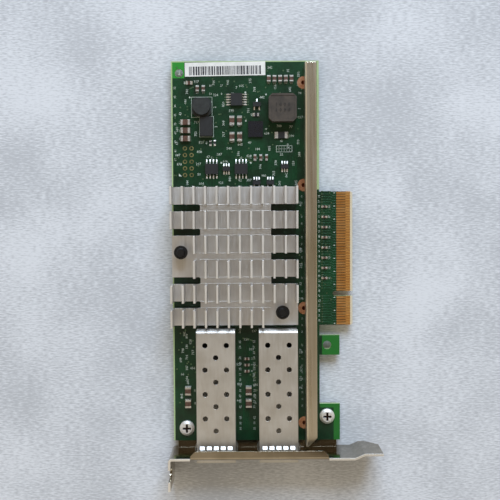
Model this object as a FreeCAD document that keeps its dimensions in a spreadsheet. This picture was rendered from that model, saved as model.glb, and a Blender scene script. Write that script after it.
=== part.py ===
"""Low-profile dual-port network interface card, as a parametric document.

Lengths are in millimetres. The card lies flat with its component side up: +X runs from the
plain long edge of the board towards the edge-connector tongue, +Y from the bracket to the far
end, and +Z out of the component side. The origin is the middle of the underside of the whole
card's box. Inside the model, "card" coordinates start at the corner of the board where the
plain long edge meets the bracket side, on the component face.
"""
import FreeCAD, Part
import math
import os
import re

import Sketcher

# ---------------------------------------------------------------- driving dimensions
SIZES = {
    # circuit board: outline, tongue of the edge connector, side tabs
    "board_length": 145.3,
    "board_width": 56.2,
    "board_thickness": 1.57,
    "tongue_reach": 68.9,
    "tongue_start": 44.5,
    "tongue_end": 95.6,
    "key_slot_centre": 56.55,
    "key_slot_width": 1.9,
    "key_slot_depth": 7.6,
    "tongue_chamfer": 0.5,
    "screw_tab_margin": 5.0,
    "screw_tab_length": 14.0,
    "hole_tab_reach": 63.9,
    "hole_tab_start": 32.9,
    "hole_tab_end": 40.5,
    "free_hole_diameter": 3.2,
    "free_hole_u": 59.1,
    "free_hole_v": 36.7,
    "corner_hole_u": 3.05,
    "corner_hole_v": 140.8,
    # gold contacts of the edge connector
    "contact_pitch": 1.0,
    "contact_width": 0.7,
    "contact_length": 5.2,
    "contact_thickness": 0.05,
    "contact_setback": 0.9,
    "short_side_contacts": 11,
    "long_side_contacts": 38,
    "key_to_contact": 1.5,
    # bracket: folded steel strip
    "bracket_length": 79.6,
    "bracket_width": 18.42,
    "bracket_above_board": 14.5,
    "bracket_overhang": 1.0,
    "bracket_gap": 3.1,
    "bracket_sheet": 0.86,
    "screw_ear_length": 11.43,
    "bend_radius": 0.4,
    "blade_length": 6.9,
    "jog_run": 3.6,
    "jog_depth": 1.5,
    "blade_taper_run": 5.0,
    "blade_taper_rise": 5.2,
    "ear_notch_width": 4.42,
    "ear_notch_depth": 5.0,
    "ear_notch_setback": 5.7,
    "ear_corner_cut": 3.0,
    "lip_start": 7.2,
    "lip_end": 58.4,
    "lip_depth": 2.7,
    "lip_corner_cut": 1.8,
    "flange_start": 1.5,
    "flange_past_screw": 3.8,
    "flange_under_board": 1.6,
    "flange_ear_width": 8.4,
    "left_ear_reach": 9.6,
    "right_ear_reach": 14.0,
    "window_clearance": 0.3,
    # bracket screws
    "left_screw_u": 5.1,
    "left_screw_v": 5.0,
    "screw_from_rail": 4.3,
    "right_screw_v": 9.3,
    "screw_shank_diameter": 2.9,
    "screw_head_diameter": 5.7,
    "screw_head_height": 1.9,
    "screw_head_wall": 0.95,
    "screw_head_round": 0.9,
    "screw_length": 3.3,
    "screw_fit": 0.2,
    "cross_recess_width": 0.8,
    "cross_recess_length": 3.2,
    "cross_recess_depth": 1.1,
    # module cages
    "left_port_u": 16.65,
    "port_pitch": 23.45,
    "cage_width": 14.5,
    "cage_height": 9.75,
    "cage_sheet": 0.25,
    "cage_nose": 6.0,
    "cage_rear": 43.7,
    "cage_rear_bend": 1.2,
    "vent_diameter": 1.9,
    "vent_row_pitch": 9.18,
    "vent_rows": 4,
    "vent_side_spacing": 8.0,
    "vent_first_row": 10.15,
    "cage_floor_opening": 12.4,
    "cage_floor_opening_length": 11.6,
    "finger_width": 1.7,
    "finger_pitch": 2.6,
    "finger_sheet": 0.15,
    "finger_root": 0.225,
    "finger_crest": 0.8,
    "finger_bow": 0.8,
    "finger_length": 3.0,
    "top_fingers": 5,
    "side_fingers": 3,
    "cage_tail_width": 0.6,
    "cage_tail_drop": 1.2,
    "cage_tail_start": 11.0,
    "cage_tail_pitch": 7.5,
    "cage_tails": 5,
    # port connectors inside the cages
    "connector_width": 11.4,
    "connector_length": 9.6,
    "connector_height": 5.6,
    "connector_clearance": 0.6,
    "connector_chin": 1.2,
    "card_slot_width": 9.4,
    "card_slot_height": 1.4,
    "card_slot_level": 2.6,
    "card_slot_depth": 6.0,
    "lead_pitch": 0.8,
    "connector_leads": 10,
    "connector_lead_width": 0.32,
    "connector_lead_foot": 1.0,
    "connector_lead_thickness": 0.2,
    # heat sink
    "sink_width": 47.6,
    "sink_start": 45.0,
    "sink_left": 0.2,
    "fin_row_length": 6.55,
    "fin_row_gap": 2.62,
    "fin_rows": 6,
    "fins_in_row": 12,
    "fin_thickness": 0.75,
    "fin_pitch": 4.236,
    "sink_base": 1.8,
    "sink_height": 10.5,
    "side_slot_left": 10.7,
    "side_slot_right": 10.1,
    "pin_hole_diameter": 3.2,
    "left_pad_width": 7.6,
    "right_pad_width": 12.4,
    # push pins and their springs
    "left_pin_u": 3.9,
    "left_pin_v": 72.9,
    "right_pin_inset": 6.0,
    "right_pin_v": 50.3,
    "pin_head_diameter": 5.1,
    "pin_crown_diameter": 3.6,
    "pin_head_height": 1.9,
    "pin_crown_height": 0.8,
    "pin_crown_slope": 0.5,
    "pin_shank_diameter": 2.8,
    "pin_stand": 3.8,
    "pin_barb_diameter": 3.6,
    "pin_tip_diameter": 2.0,
    "pin_tip_drop": 2.1,
    "pin_split_width": 0.7,
    "barb_clearance": 0.1,
    "spring_diameter": 4.0,
    "spring_wire": 0.4,
    "spring_turns": 3.5,
    # controller under the sink
    "chip_side": 25.0,
    "chip_substrate": 1.2,
    "chip_lid_side": 20.0,
    "chip_lid": 0.7,
    "thermal_pad": 0.2,
    # stiffener rail along the right long edge
    "rail_from_sink": 2.7,
    "rail_from_cage": 3.15,
    "rail_width": 4.2,
    "rail_height": 7.5,
    "rail_sheet": 0.8,
    "rail_start": 2.6,
    "rail_point": 3.4,
    "rail_end_setback": 1.8,
    "rail_ring_shift": 0.1,
    "rail_ring_diameter": 4.7,
    "rail_ring_bore": 2.6,
    "rail_ring_thickness": 0.06,
    "rail_ring_1": 6.7,
    "rail_ring_2": 51.0,
    "rail_ring_3": 98.1,
    "rail_ring_4": 137.0,
    # large parts of the power supply
    "power_choke_side": 10.5,
    "power_choke_height": 4.6,
    "power_choke_corner": 1.3,
    "power_choke_rim": 0.84,
    "power_choke_dish": 0.15,
    "drum_choke_length": 7.3,
    "drum_choke_width": 7.1,
    "drum_choke_corner": 1.2,
    "drum_choke_base": 1.3,
    "drum_choke_diameter": 6.4,
    "drum_choke_height": 3.4,
    "switch_length": 4.8,
    "switch_width": 7.2,
    "switch_height": 2.0,
    "quad_length": 5.6,
    "quad_width": 6.0,
    "quad_height": 0.9,
    # chips with gull-wing leads
    "memory_length": 4.9,
    "memory_width": 3.9,
    "memory_height": 1.5,
    "memory_span": 6.0,
    "memory_lead_width": 0.42,
    "memory_lead_pitch": 1.27,
    "regulator_length": 4.6,
    "regulator_width": 4.4,
    "regulator_height": 1.1,
    "regulator_span": 6.4,
    "regulator_lead_width": 0.4,
    "regulator_lead_pitch": 0.95,
    "small_length": 2.9,
    "small_width": 1.6,
    "small_height": 1.1,
    "small_span": 2.8,
    "small_lead_width": 0.4,
    "small_lead_pitch": 0.95,
    "lead_thickness": 0.15,
    "lead_foot": 0.45,
    "chip_standoff": 0.12,
    # paper label on the far corner
    "label_length": 30.6,
    "label_width": 5.2,
    "label_thickness": 0.1,
    "label_turn": 0.8,
    # header and chip-part details
    "header_pitch": 2.54,
    "header_rows": 5,
    "header_columns": 2,
    "header_pad_diameter": 1.6,
    "header_pad_bore": 0.9,
    "header_pad_thickness": 0.05,
    "terminal_share": 0.22,
    "rail_to_chip_part": 0.3,
}

# Middles of the single parts on the board, in card coordinates.
PLACES = {
    "power_choke": (42.3, 127.15),
    "drum_choke": (11.65, 127.9),
    "switch": (13.4, 120.5),
    "quad": (32.1, 119.45),
    "regulator": (24.9, 130.7),
    "memory_a": (15.3, 104.4),
    "memory_b": (26.5, 104.4),
    "six_lead_a": (20.9, 104.4),
    "six_lead_b": (43.1, 105.2),
    "three_lead_a": (32.6, 128.8),
    "three_lead_b": (32.4, 99.2),
    "three_lead_c": (37.6, 99.2),
    "header": (5.08, 102.15),
    "label": (20.6, 142.3),
}

# Chip parts in rows: first middle, how many across and along, steps, then size and height.
# The last word says which way the two silver ends face. The edge capacitors' first middle is
# counted from the inner ends of the gold contacts, and other rows' from the board's left edge.
CHIP_ROWS = {
    "input_capacitor": (5.4, 115.95, 1, 3, 0.0, 3.1, 3.4, 2.0, 1.5, "across"),
    "output_capacitor": (23.1, 116.55, 2, 2, 2.9, 6.15, 1.8, 3.1, 1.3, "along"),
    "bulk_capacitor": (37.2, 138.45, 5, 1, 2.15, 0.0, 1.4, 2.2, 1.2, "along"),
    "filter_capacitor": (10.0, 134.9, 2, 1, 2.3, 0.0, 1.2, 1.9, 0.8, "along"),
    "memory_capacitor": (31.8, 108.65, 3, 1, 2.2, 0.0, 1.0, 1.8, 0.7, "along"),
    "chassis_capacitor": (5.6, 14.4, 2, 2, 23.3, 4.9, 2.2, 3.0, 1.5, "along"),
    "port_capacitor": (28.3, 26.8, 1, 3, 0.0, 2.4, 1.6, 0.9, 0.7, "across"),
    "fuse": (6.9, 137.1, 1, 1, 0.0, 0.0, 1.9, 1.3, 0.6, "across"),
    "sense_resistor": (41.9, 117.1, 1, 1, 0.0, 0.0, 4.6, 2.4, 0.7, "across"),
    "pull_up_resistor": (14.9, 114.3, 2, 1, 1.6, 0.0, 0.8, 1.5, 0.45, "along"),
    "bias_resistor": (32.3, 124.95, 1, 1, 0.0, 0.0, 1.9, 1.2, 0.5, "across"),
    "edge_capacitor": (-4.6, 62.5, 1, 8, 0.0, 3.9, 1.6, 0.8, 0.5, "across"),
    "underside_capacitor": (18.85, 57.45, 3, 3, 4.0, 4.0, 1.6, 0.8, 0.7, "across"),
}

PARTS_FOLDER = "parts"
FULL_TURN = 360.0
CUT_MARGIN = "1"
THROUGH_BRACKET = "4 * (bracket_gap + bracket_sheet)"
RAIL_RINGS = 4
RING_SIDES = 12
SMALL_ROUND_SIDES = 8
SPRING_STEPS_PER_TURN = 8
SPRING_WIRE_SIDES = 4

doc = FreeCAD.newDocument("network_interface_card")
sheet = doc.addObject("Spreadsheet::Sheet", "sizes")
NODES = []


def fill_sheet():
    """One named cell for each driving dimension and each part's middle."""
    cells = dict(SIZES)
    for name, (u, v) in PLACES.items():
        cells[name + "_u"] = u
        cells[name + "_v"] = v
    for name, row in CHIP_ROWS.items():
        u, v, across, along, step_u, step_v, size_u, size_v, tall = row[:9]
        cells[name + "_first_u"] = u
        cells[name + "_first_v"] = v
        cells[name + "_step_u"] = step_u
        cells[name + "_step_v"] = step_v
        cells[name + "_size_u"] = size_u
        cells[name + "_size_v"] = size_v
        cells[name + "_tall"] = tall
    for line, (name, value) in enumerate(cells.items(), start=1):
        sheet.set("A%d" % line, name)
        sheet.set("B%d" % line, str(value))
        sheet.setAlias("B%d" % line, name)
    doc.recompute()
    return set(cells)


ALIASES = fill_sheet()


def bound(text):
    """An expression in the sheet's own words, such as "cage_width / 2"."""
    def name_cell(word):
        return "sizes." + word[0] if word[0] in ALIASES else word[0]

    return re.sub(r"[a-z_][a-z_0-9]*", name_cell, text)


def size(name):
    return float(getattr(sheet, name))


# Where card coordinates start, seen from the origin of the whole card's box.
CARD_U = "(bracket_overhang - bracket_length / 2)"
CARD_V = "((bracket_gap + bracket_sheet + screw_ear_length - board_length) / 2)"
CARD_Z = "(bracket_width - bracket_above_board)"
UNDERSIDE = "(-board_thickness)"

# The rail clears whichever reaches further right, the sink or the right cage, and the right
# bracket screw with its tab and flange keeps its distance from the rail.
SINK_RIGHT = "(sink_left + sink_width)"
CAGE_RIGHT = "(left_port_u + port_pitch + cage_width / 2)"
RAIL_LEFT = "max(%s + rail_from_sink; %s + rail_from_cage)" % (SINK_RIGHT, CAGE_RIGHT)
RAIL_RIGHT = "(%s + rail_width)" % RAIL_LEFT
RIGHT_SCREW_U = "(%s + screw_from_rail)" % RAIL_RIGHT
SCREW_TAB_REACH = "(%s + screw_tab_margin)" % RIGHT_SCREW_U
FLANGE_END = "(%s + flange_past_screw)" % RIGHT_SCREW_U
BLADE_END = "(bracket_length - bracket_overhang)"
BLADE_START = "(bracket_length - bracket_overhang - blade_length)"
JOG_START = "(bracket_length - bracket_overhang - blade_length - jog_run)"
CONTACTS_START = "(tongue_reach - contact_setback - contact_length)"
EDGE_ROW_U = "max(%s + edge_capacitor_first_u; %s + rail_to_chip_part + edge_capacitor_size_u / 2)" % (
    CONTACTS_START, RAIL_RIGHT)
ROW_STARTS = {"edge_capacitor": EDGE_ROW_U}

# The right push pin keeps its distance from the sink's right side.
RIGHT_PIN_U = "(%s - right_pin_inset)" % SINK_RIGHT


def place(thing, u="0", v="0", z="0"):
    """Binds where an object sits, in card coordinates."""
    thing.setExpression("Placement.Base.x", bound(CARD_U + " + " + u))
    thing.setExpression("Placement.Base.y", bound(CARD_V + " + " + v))
    thing.setExpression("Placement.Base.z", bound(CARD_Z + " + " + z))


def node(thing, label):
    """Registers a finished sub-part under the name of its file."""
    thing.Label = label
    NODES.append(thing)
    return thing


# ---------------------------------------------------------------- modelling helpers
def new_body(name):
    return doc.addObject("PartDesign::Body", name + "_body")


def origin_plane(body, role):
    for feature in body.Origin.OriginFeatures:
        if feature.Role == role:
            return feature
    raise ValueError(role)


def sketch_on(body, role, level=None):
    """A sketch on one of the body's own planes, raised to a level if one is given."""
    sketch = body.newObject("Sketcher::SketchObject", body.Name + "_sketch")
    sketch.AttachmentSupport = [(origin_plane(body, role), "")]
    sketch.MapMode = "FlatFace"
    if level:
        sketch.setExpression("AttachmentOffset.Base.z", bound(level))
    doc.recompute()
    return sketch


def number(sketch, text):
    value = sketch.evalExpression(bound(text))
    return float(getattr(value, "Value", value))


def pin_point(sketch, geometry, end, x_text, y_text):
    """Binds a point of the sketch to two expressions."""
    for kind, text in (("DistanceX", x_text), ("DistanceY", y_text)):
        limit = Sketcher.Constraint(kind, -1, 1, geometry, end, number(sketch, text))
        row = sketch.addConstraint(limit)
        sketch.setExpression("Constraints[%d]" % row, bound(text))


def outline(sketch, corners):
    """A closed outline. A corner is (x, y), or (x, y, centre x, centre y, turn) where an arc starts."""
    first = sketch.GeometryCount
    points = [FreeCAD.Vector(number(sketch, c[0]), number(sketch, c[1]), 0) for c in corners]
    for index, corner in enumerate(corners):
        start = points[index]
        end = points[(index + 1) % len(points)]
        if len(corner) == 2:
            sketch.addGeometry(Part.LineSegment(start, end), False)
            continue
        centre = FreeCAD.Vector(number(sketch, corner[2]), number(sketch, corner[3]), 0)
        circle = Part.Circle(centre, FreeCAD.Vector(0, 0, 1), (start - centre).Length)
        from_angle = math.atan2(start.y - centre.y, start.x - centre.x)
        to_angle = math.atan2(end.y - centre.y, end.x - centre.x)
        if corner[4] == "left":
            sketch.addGeometry(Part.ArcOfCircle(circle, from_angle, to_angle), False)
        else:
            sketch.addGeometry(Part.ArcOfCircle(circle, to_angle, from_angle), False)
    ends = []
    for index, corner in enumerate(corners):
        ends.append((2, 1) if len(corner) == 5 and corner[4] == "right" else (1, 2))
    for index, corner in enumerate(corners):
        after = (index + 1) % len(corners)
        sketch.addConstraint(Sketcher.Constraint(
            "Coincident", first + index, ends[index][1], first + after, ends[after][0]))
        pin_point(sketch, first + index, ends[index][0], corner[0], corner[1])
        if len(corner) == 5:
            chord = points[after] - points[index]
            level_chord = abs(chord.x) > abs(chord.y)
            kind, text = ("DistanceY", corner[3]) if level_chord else ("DistanceX", corner[2])
            limit = Sketcher.Constraint(kind, -1, 1, first + index, 3, number(sketch, text))
            row = sketch.addConstraint(limit)
            sketch.setExpression("Constraints[%d]" % row, bound(text))


def rectangle(sketch, x0, y0, x1, y1):
    outline(sketch, [(x0, y0), (x1, y0), (x1, y1), (x0, y1)])


def circle(sketch, x_text, y_text, diameter):
    centre = FreeCAD.Vector(number(sketch, x_text), number(sketch, y_text), 0)
    ring = Part.Circle(centre, FreeCAD.Vector(0, 0, 1), number(sketch, diameter) / 2)
    index = sketch.addGeometry(ring, False)
    pin_point(sketch, index, 3, x_text, y_text)
    row = sketch.addConstraint(Sketcher.Constraint("Diameter", index, number(sketch, diameter)))
    sketch.setExpression("Constraints[%d]" % row, bound(diameter))


def facet_circle(sketch, x_text, y_text, diameter, sides):
    """A small round that repeats, drawn with flats which lie the diameter apart."""
    reach = 1 / math.cos(math.pi / sides)
    corners = []
    for side in range(sides):
        angle = 2 * math.pi * (side + 0.5) / sides
        x_share = reach * math.cos(angle)
        y_share = reach * math.sin(angle)
        corners.append((
            "%s + %s / 2 * (%.6f)" % (x_text, diameter, x_share),
            "%s + %s / 2 * (%.6f)" % (y_text, diameter, y_share),
        ))
    outline(sketch, corners)


def pad(body, sketch, length, midplane=False, down=False):
    feature = body.newObject("PartDesign::Pad", body.Name + "_pad")
    feature.Profile = sketch
    feature.Midplane = midplane
    feature.Reversed = down
    feature.setExpression("Length", bound(length))
    doc.recompute()
    return feature


def pocket(body, sketch, length, midplane=False, up=False):
    """Cuts along the sketch's normal, and makes sure that it cut something."""
    before = body.Shape.Volume
    feature = body.newObject("PartDesign::Pocket", body.Name + "_pocket")
    feature.Profile = sketch
    feature.Midplane = midplane
    feature.Reversed = up
    feature.setExpression("Length", bound(length))
    doc.recompute()
    if not body.Shape.Volume < before:
        raise RuntimeError(feature.Name + " cut nothing")
    return feature


def pattern(body, originals, sketch, axis, step, count, across=None):
    """Copies features along an axis of a sketch, and along the other axis where across is given."""
    feature = body.newObject("PartDesign::LinearPattern", body.Name + "_pattern")
    feature.Originals = originals
    feature.Direction = (sketch, [axis])
    feature.setExpression("Length", bound("(%s) * (%s - 1)" % (step, count)))
    feature.setExpression("Occurrences", bound(count))
    if across:
        other_axis, other_step, other_count = across
        feature.Direction2 = (sketch, [other_axis])
        feature.setExpression("Length2", bound("(%s) * (%s - 1)" % (other_step, other_count)))
        feature.setExpression("Occurrences2", bound(other_count))
    body.Tip = feature
    doc.recompute()
    return feature


def revolution(body, sketch):
    feature = body.newObject("PartDesign::Revolution", body.Name + "_revolution")
    feature.Profile = sketch
    feature.ReferenceAxis = (sketch, ["V_Axis"])
    feature.Angle = FULL_TURN
    doc.recompute()
    return feature


def block(name, u0, v0, z0, length, width, height):
    """A box by its lowest corner in card coordinates, all bound to the sheet."""
    box = doc.addObject("Part::Box", name)
    box.setExpression("Length", bound(length))
    box.setExpression("Width", bound(width))
    box.setExpression("Height", bound(height))
    place(box, u0, v0, z0)
    return box


def group(name, members):
    """Several separate solids kept under one name."""
    compound = doc.addObject("Part::Compound", name + "_group")
    compound.Links = members
    doc.recompute()
    return node(compound, name)


# ---------------------------------------------------------------- circuit board
def circuit_board():
    """The board's outline with its tongue, key slot and side tabs, then its round holes."""
    body = new_body("board")
    sketch = sketch_on(body, "XY_Plane")
    slot_low = "key_slot_centre - key_slot_width / 2"
    slot_high = "key_slot_centre + key_slot_width / 2"
    slot_end = "tongue_reach - key_slot_depth"
    slot_round = "tongue_reach - key_slot_depth + key_slot_width / 2"
    outline(sketch, [
        ("0", "0"),
        (SCREW_TAB_REACH, "0"),
        (SCREW_TAB_REACH, "screw_tab_length"),
        ("board_width", "screw_tab_length"),
        ("board_width", "hole_tab_start"),
        ("hole_tab_reach", "hole_tab_start"),
        ("hole_tab_reach", "hole_tab_end"),
        ("board_width", "hole_tab_end"),
        ("board_width", "tongue_start"),
        ("tongue_reach - tongue_chamfer", "tongue_start"),
        ("tongue_reach", "tongue_start + tongue_chamfer"),
        ("tongue_reach", slot_low),
        (slot_round, slot_low, slot_round, "key_slot_centre", "right"),
        (slot_round, slot_high),
        ("tongue_reach", slot_high),
        ("tongue_reach", "tongue_end - tongue_chamfer"),
        ("tongue_reach - tongue_chamfer", "tongue_end"),
        ("board_width", "tongue_end"),
        ("board_width", "board_length"),
        ("0", "board_length"),
    ])
    pad(body, sketch, "board_thickness", down=True)
    holes = sketch_on(body, "XY_Plane")
    circle(holes, "free_hole_u", "free_hole_v", "free_hole_diameter")
    circle(holes, "corner_hole_u", "corner_hole_v", "free_hole_diameter")
    circle(holes, "left_screw_u", "left_screw_v", "screw_shank_diameter + screw_fit")
    circle(holes, RIGHT_SCREW_U, "right_screw_v", "screw_shank_diameter + screw_fit")
    circle(holes, "left_pin_u", "left_pin_v", "pin_hole_diameter")
    circle(holes, RIGHT_PIN_U, "right_pin_v", "pin_hole_diameter")
    pocket(body, holes, "board_thickness")
    place(body)
    node(body, "circuit_board")


def edge_contacts():
    """Gold contacts in two runs, either side of the key slot, on both faces of the tongue."""
    body = new_body("contacts")
    left = CONTACTS_START
    right = "tongue_reach - contact_setback"
    for level, down in (("0", False), ("-board_thickness", True)):
        for middle, count, backwards in (
            ("key_slot_centre - key_to_contact", "short_side_contacts", True),
            ("key_slot_centre + key_to_contact", "long_side_contacts", False),
        ):
            sketch = sketch_on(body, "XY_Plane", level)
            low = middle + " - contact_width / 2"
            rectangle(sketch, left, low, right, low + " + contact_width")
            contact = pad(body, sketch, "contact_thickness", down=down)
            run = pattern(body, [contact], sketch, "V_Axis", "contact_pitch", count)
            run.Reversed = backwards
            doc.recompute()
    place(body)
    node(body, "edge_contacts")


# ---------------------------------------------------------------- bracket and its screws
def bracket():
    """One folded strip: screw ear, flat face with two windows, roof lip, flange, jog and blade."""
    body = new_body("bracket")
    below = "(bracket_width - bracket_above_board)"
    outer = "(-bracket_gap - bracket_sheet)"
    ear_end = outer + " - screw_ear_length"
    ear_left = "(-bracket_overhang)"
    ear_right = "(bracket_sheet - bracket_overhang)"
    bend_outer = "(bend_radius + bracket_sheet)"
    strip = sketch_on(body, "XY_Plane", "-" + below)
    outline(strip, [
        (ear_left, ear_end),
        (ear_right, ear_end),
        (ear_right, outer + " - bend_radius",
         ear_right + " + bend_radius", outer + " - bend_radius", "right"),
        (ear_right + " + bend_radius", outer),
        (JOG_START, outer),
        (BLADE_START, outer + " + jog_depth"),
        (BLADE_END, outer + " + jog_depth"),
        (BLADE_END, "jog_depth - bracket_gap"),
        (BLADE_START, "jog_depth - bracket_gap"),
        (JOG_START, "-bracket_gap"),
        (ear_left + " + " + bend_outer, "-bracket_gap",
         ear_left + " + " + bend_outer, "-bracket_gap - " + bend_outer, "left"),
        (ear_left, "-bracket_gap - " + bend_outer),
    ])
    pad(body, strip, "bracket_width")
    make_room = sketch_on(body, "XZ_Plane")
    rectangle(
        make_room, "lip_start", "bracket_above_board - " + bend_outer,
        "lip_end", "bracket_above_board + " + CUT_MARGIN,
    )
    pocket(body, make_room, THROUGH_BRACKET, midplane=True)
    lip = sketch_on(body, "YZ_Plane", "lip_start")
    lip_level = "bracket_above_board - " + bend_outer
    lip_middle = "(bend_radius - bracket_gap)"
    outline(lip, [
        ("-bracket_gap", lip_level, lip_middle, lip_level, "right"),
        (lip_middle, "bracket_above_board - bracket_sheet"),
        ("lip_depth - bracket_gap", "bracket_above_board - bracket_sheet"),
        ("lip_depth - bracket_gap", "bracket_above_board"),
        (lip_middle, "bracket_above_board", lip_middle, lip_level, "left"),
        (outer, lip_level),
    ])
    pad(body, lip, "lip_end - lip_start")
    corners = sketch_on(body, "XY_Plane", "bracket_above_board")
    for tip, inward in (("lip_start", "+"), ("lip_end", "-")):
        outline(corners, [
            (tip, "lip_depth - bracket_gap - lip_corner_cut"),
            (tip + inward + "lip_corner_cut", "lip_depth - bracket_gap"),
            (tip, "lip_depth - bracket_gap"),
        ])
    pocket(body, corners, "bracket_sheet")
    flange = sketch_on(body, "XY_Plane", UNDERSIDE)
    root = "(-bracket_gap - bracket_sheet / 2)"
    outline(flange, [
        ("flange_start", root),
        (FLANGE_END, root),
        (FLANGE_END, "right_ear_reach"),
        (FLANGE_END + " - flange_ear_width", "right_ear_reach"),
        (FLANGE_END + " - flange_ear_width", "flange_under_board"),
        ("flange_start + flange_ear_width", "flange_under_board"),
        ("flange_start + flange_ear_width", "left_ear_reach"),
        ("flange_start", "left_ear_reach"),
    ])
    pad(body, flange, "bracket_sheet", down=True)
    threads = sketch_on(body, "XY_Plane", UNDERSIDE)
    circle(threads, "left_screw_u", "left_screw_v", "screw_shank_diameter + screw_fit")
    circle(threads, RIGHT_SCREW_U, "right_screw_v", "screw_shank_diameter + screw_fit")
    pocket(body, threads, "bracket_sheet")
    windows = sketch_on(body, "XZ_Plane")
    for middle in ("left_port_u", "(left_port_u + port_pitch)"):
        rectangle(
            windows,
            middle + " - cage_width / 2 - window_clearance", "-window_clearance",
            middle + " + cage_width / 2 + window_clearance", "cage_height + window_clearance",
        )
    pocket(body, windows, THROUGH_BRACKET, midplane=True)
    notch = sketch_on(body, "YZ_Plane")
    middle = outer + " - ear_notch_setback"
    round_level = "bracket_above_board - ear_notch_depth"
    outline(notch, [
        (middle + " - ear_notch_width / 2", "bracket_above_board + " + CUT_MARGIN),
        (middle + " - ear_notch_width / 2", round_level, middle, round_level, "left"),
        (middle + " + ear_notch_width / 2", round_level),
        (middle + " + ear_notch_width / 2", "bracket_above_board + " + CUT_MARGIN),
    ])
    pocket(body, notch, "4 * bracket_overhang", midplane=True)
    ear_corner = sketch_on(body, "YZ_Plane")
    outline(ear_corner, [
        (ear_end, "-" + below + " + ear_corner_cut"),
        (ear_end, "-" + below),
        (ear_end + " + ear_corner_cut", "-" + below),
    ])
    pocket(body, ear_corner, "4 * bracket_overhang", midplane=True)
    taper = sketch_on(body, "XZ_Plane")
    outline(taper, [
        (BLADE_END + " - blade_taper_run", "-" + below),
        (BLADE_END, "-" + below),
        (BLADE_END, "-" + below + " + blade_taper_rise"),
    ])
    pocket(body, taper, THROUGH_BRACKET, midplane=True)
    place(body)
    node(body, "bracket")


def bracket_screw(label, u, v):
    """Pan-head screw with a cross recess, through the board into the flange."""
    body = new_body(label)
    profile = sketch_on(body, "XZ_Plane")
    head = "screw_head_diameter / 2"
    shank = "screw_shank_diameter / 2"
    outline(profile, [
        ("0", "-screw_length"),
        (shank, "-screw_length"),
        (shank, "0"),
        (head, "0"),
        (head, "screw_head_wall"),
        (head + " - screw_head_round", "screw_head_height"),
        ("0", "screw_head_height"),
    ])
    revolution(body, profile)
    recess = sketch_on(body, "XY_Plane", "screw_head_height")
    arm = "cross_recess_length / 2"
    half = "cross_recess_width / 2"
    outline(recess, [
        ("-" + arm, "-" + half), ("-" + half, "-" + half), ("-" + half, "-" + arm),
        (half, "-" + arm), (half, "-" + half), (arm, "-" + half),
        (arm, half), (half, half), (half, arm),
        ("-" + half, arm), ("-" + half, half), ("-" + arm, half),
    ])
    pocket(body, recess, "cross_recess_depth")
    place(body, u, v)
    node(body, label)


# ---------------------------------------------------------------- module cages
def port_cage(label, u):
    """Folded cage: a long box open at the nose, with vent holes and an open floor at the rear."""
    body = new_body(label)
    side = sketch_on(body, "YZ_Plane")
    bend = "cage_rear_bend"
    outline(side, [
        ("-cage_nose", "0"),
        ("cage_rear", "0"),
        ("cage_rear", "cage_height - " + bend,
         "cage_rear - " + bend, "cage_height - " + bend, "left"),
        ("cage_rear - " + bend, "cage_height"),
        ("-cage_nose", "cage_height"),
    ])
    pad(body, side, "cage_width", midplane=True)
    room = sketch_on(body, "YZ_Plane")
    outline(room, [
        ("-cage_nose - " + CUT_MARGIN, "cage_sheet"),
        ("cage_rear - cage_sheet", "cage_sheet"),
        ("cage_rear - cage_sheet", "cage_height - " + bend,
         "cage_rear - " + bend, "cage_height - " + bend, "left"),
        ("cage_rear - " + bend, "cage_height - cage_sheet"),
        ("-cage_nose - " + CUT_MARGIN, "cage_height - cage_sheet"),
    ])
    pocket(body, room, "cage_width - 2 * cage_sheet", midplane=True)
    floor = sketch_on(body, "XY_Plane")
    rectangle(
        floor,
        "-cage_floor_opening / 2", "cage_rear - cage_sheet - cage_floor_opening_length",
        "cage_floor_opening / 2", "cage_rear - cage_sheet",
    )
    pocket(body, floor, "2 * cage_sheet", up=True)
    vents = sketch_on(body, "XY_Plane", "cage_height")
    first_row = "cage_rear - vent_first_row - (vent_rows - 1) * vent_row_pitch + vent_row_pitch / 2"
    facet_circle(vents, "-vent_side_spacing / 2", first_row, "vent_diameter", SMALL_ROUND_SIDES)
    pair = pocket(body, vents, "2 * cage_sheet")
    pattern(body, [pair], vents, "V_Axis", "vent_row_pitch", "vent_rows",
            across=("H_Axis", "vent_side_spacing", "2"))
    middle_vents = sketch_on(body, "XY_Plane", "cage_height")
    middle_row = first_row + " - vent_row_pitch / 2"
    facet_circle(middle_vents, "0", middle_row, "vent_diameter", SMALL_ROUND_SIDES)
    single = pocket(body, middle_vents, "2 * cage_sheet")
    pattern(body, [single], middle_vents, "V_Axis", "vent_row_pitch", "vent_rows")
    place(body, u)
    node(body, label)


def bowed_finger(sketch, surface, outward, upright):
    """A finger seen from its edge, bowed away from a wall. Outward is the wall's own sign."""
    inward = "-" if outward == "+" else "+"
    front = "window_clearance - bracket_gap"
    back = front + " + finger_length"
    crest = front + " + finger_length / 2"
    top = "%s %s finger_bow" % (surface, outward)
    hollow = "%s %s finger_sheet" % (top, inward)
    corners = [
        (front, surface),
        (front + " + finger_root", surface),
        (crest + " - finger_crest / 2", hollow),
        (crest + " + finger_crest / 2", hollow),
        (back + " - finger_root", surface),
        (back, surface),
        (crest + " + finger_crest / 2", top),
        (crest + " - finger_crest / 2", top),
    ]
    if upright:
        corners = [(across, along) for along, across in corners]
    outline(sketch, corners)


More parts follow.
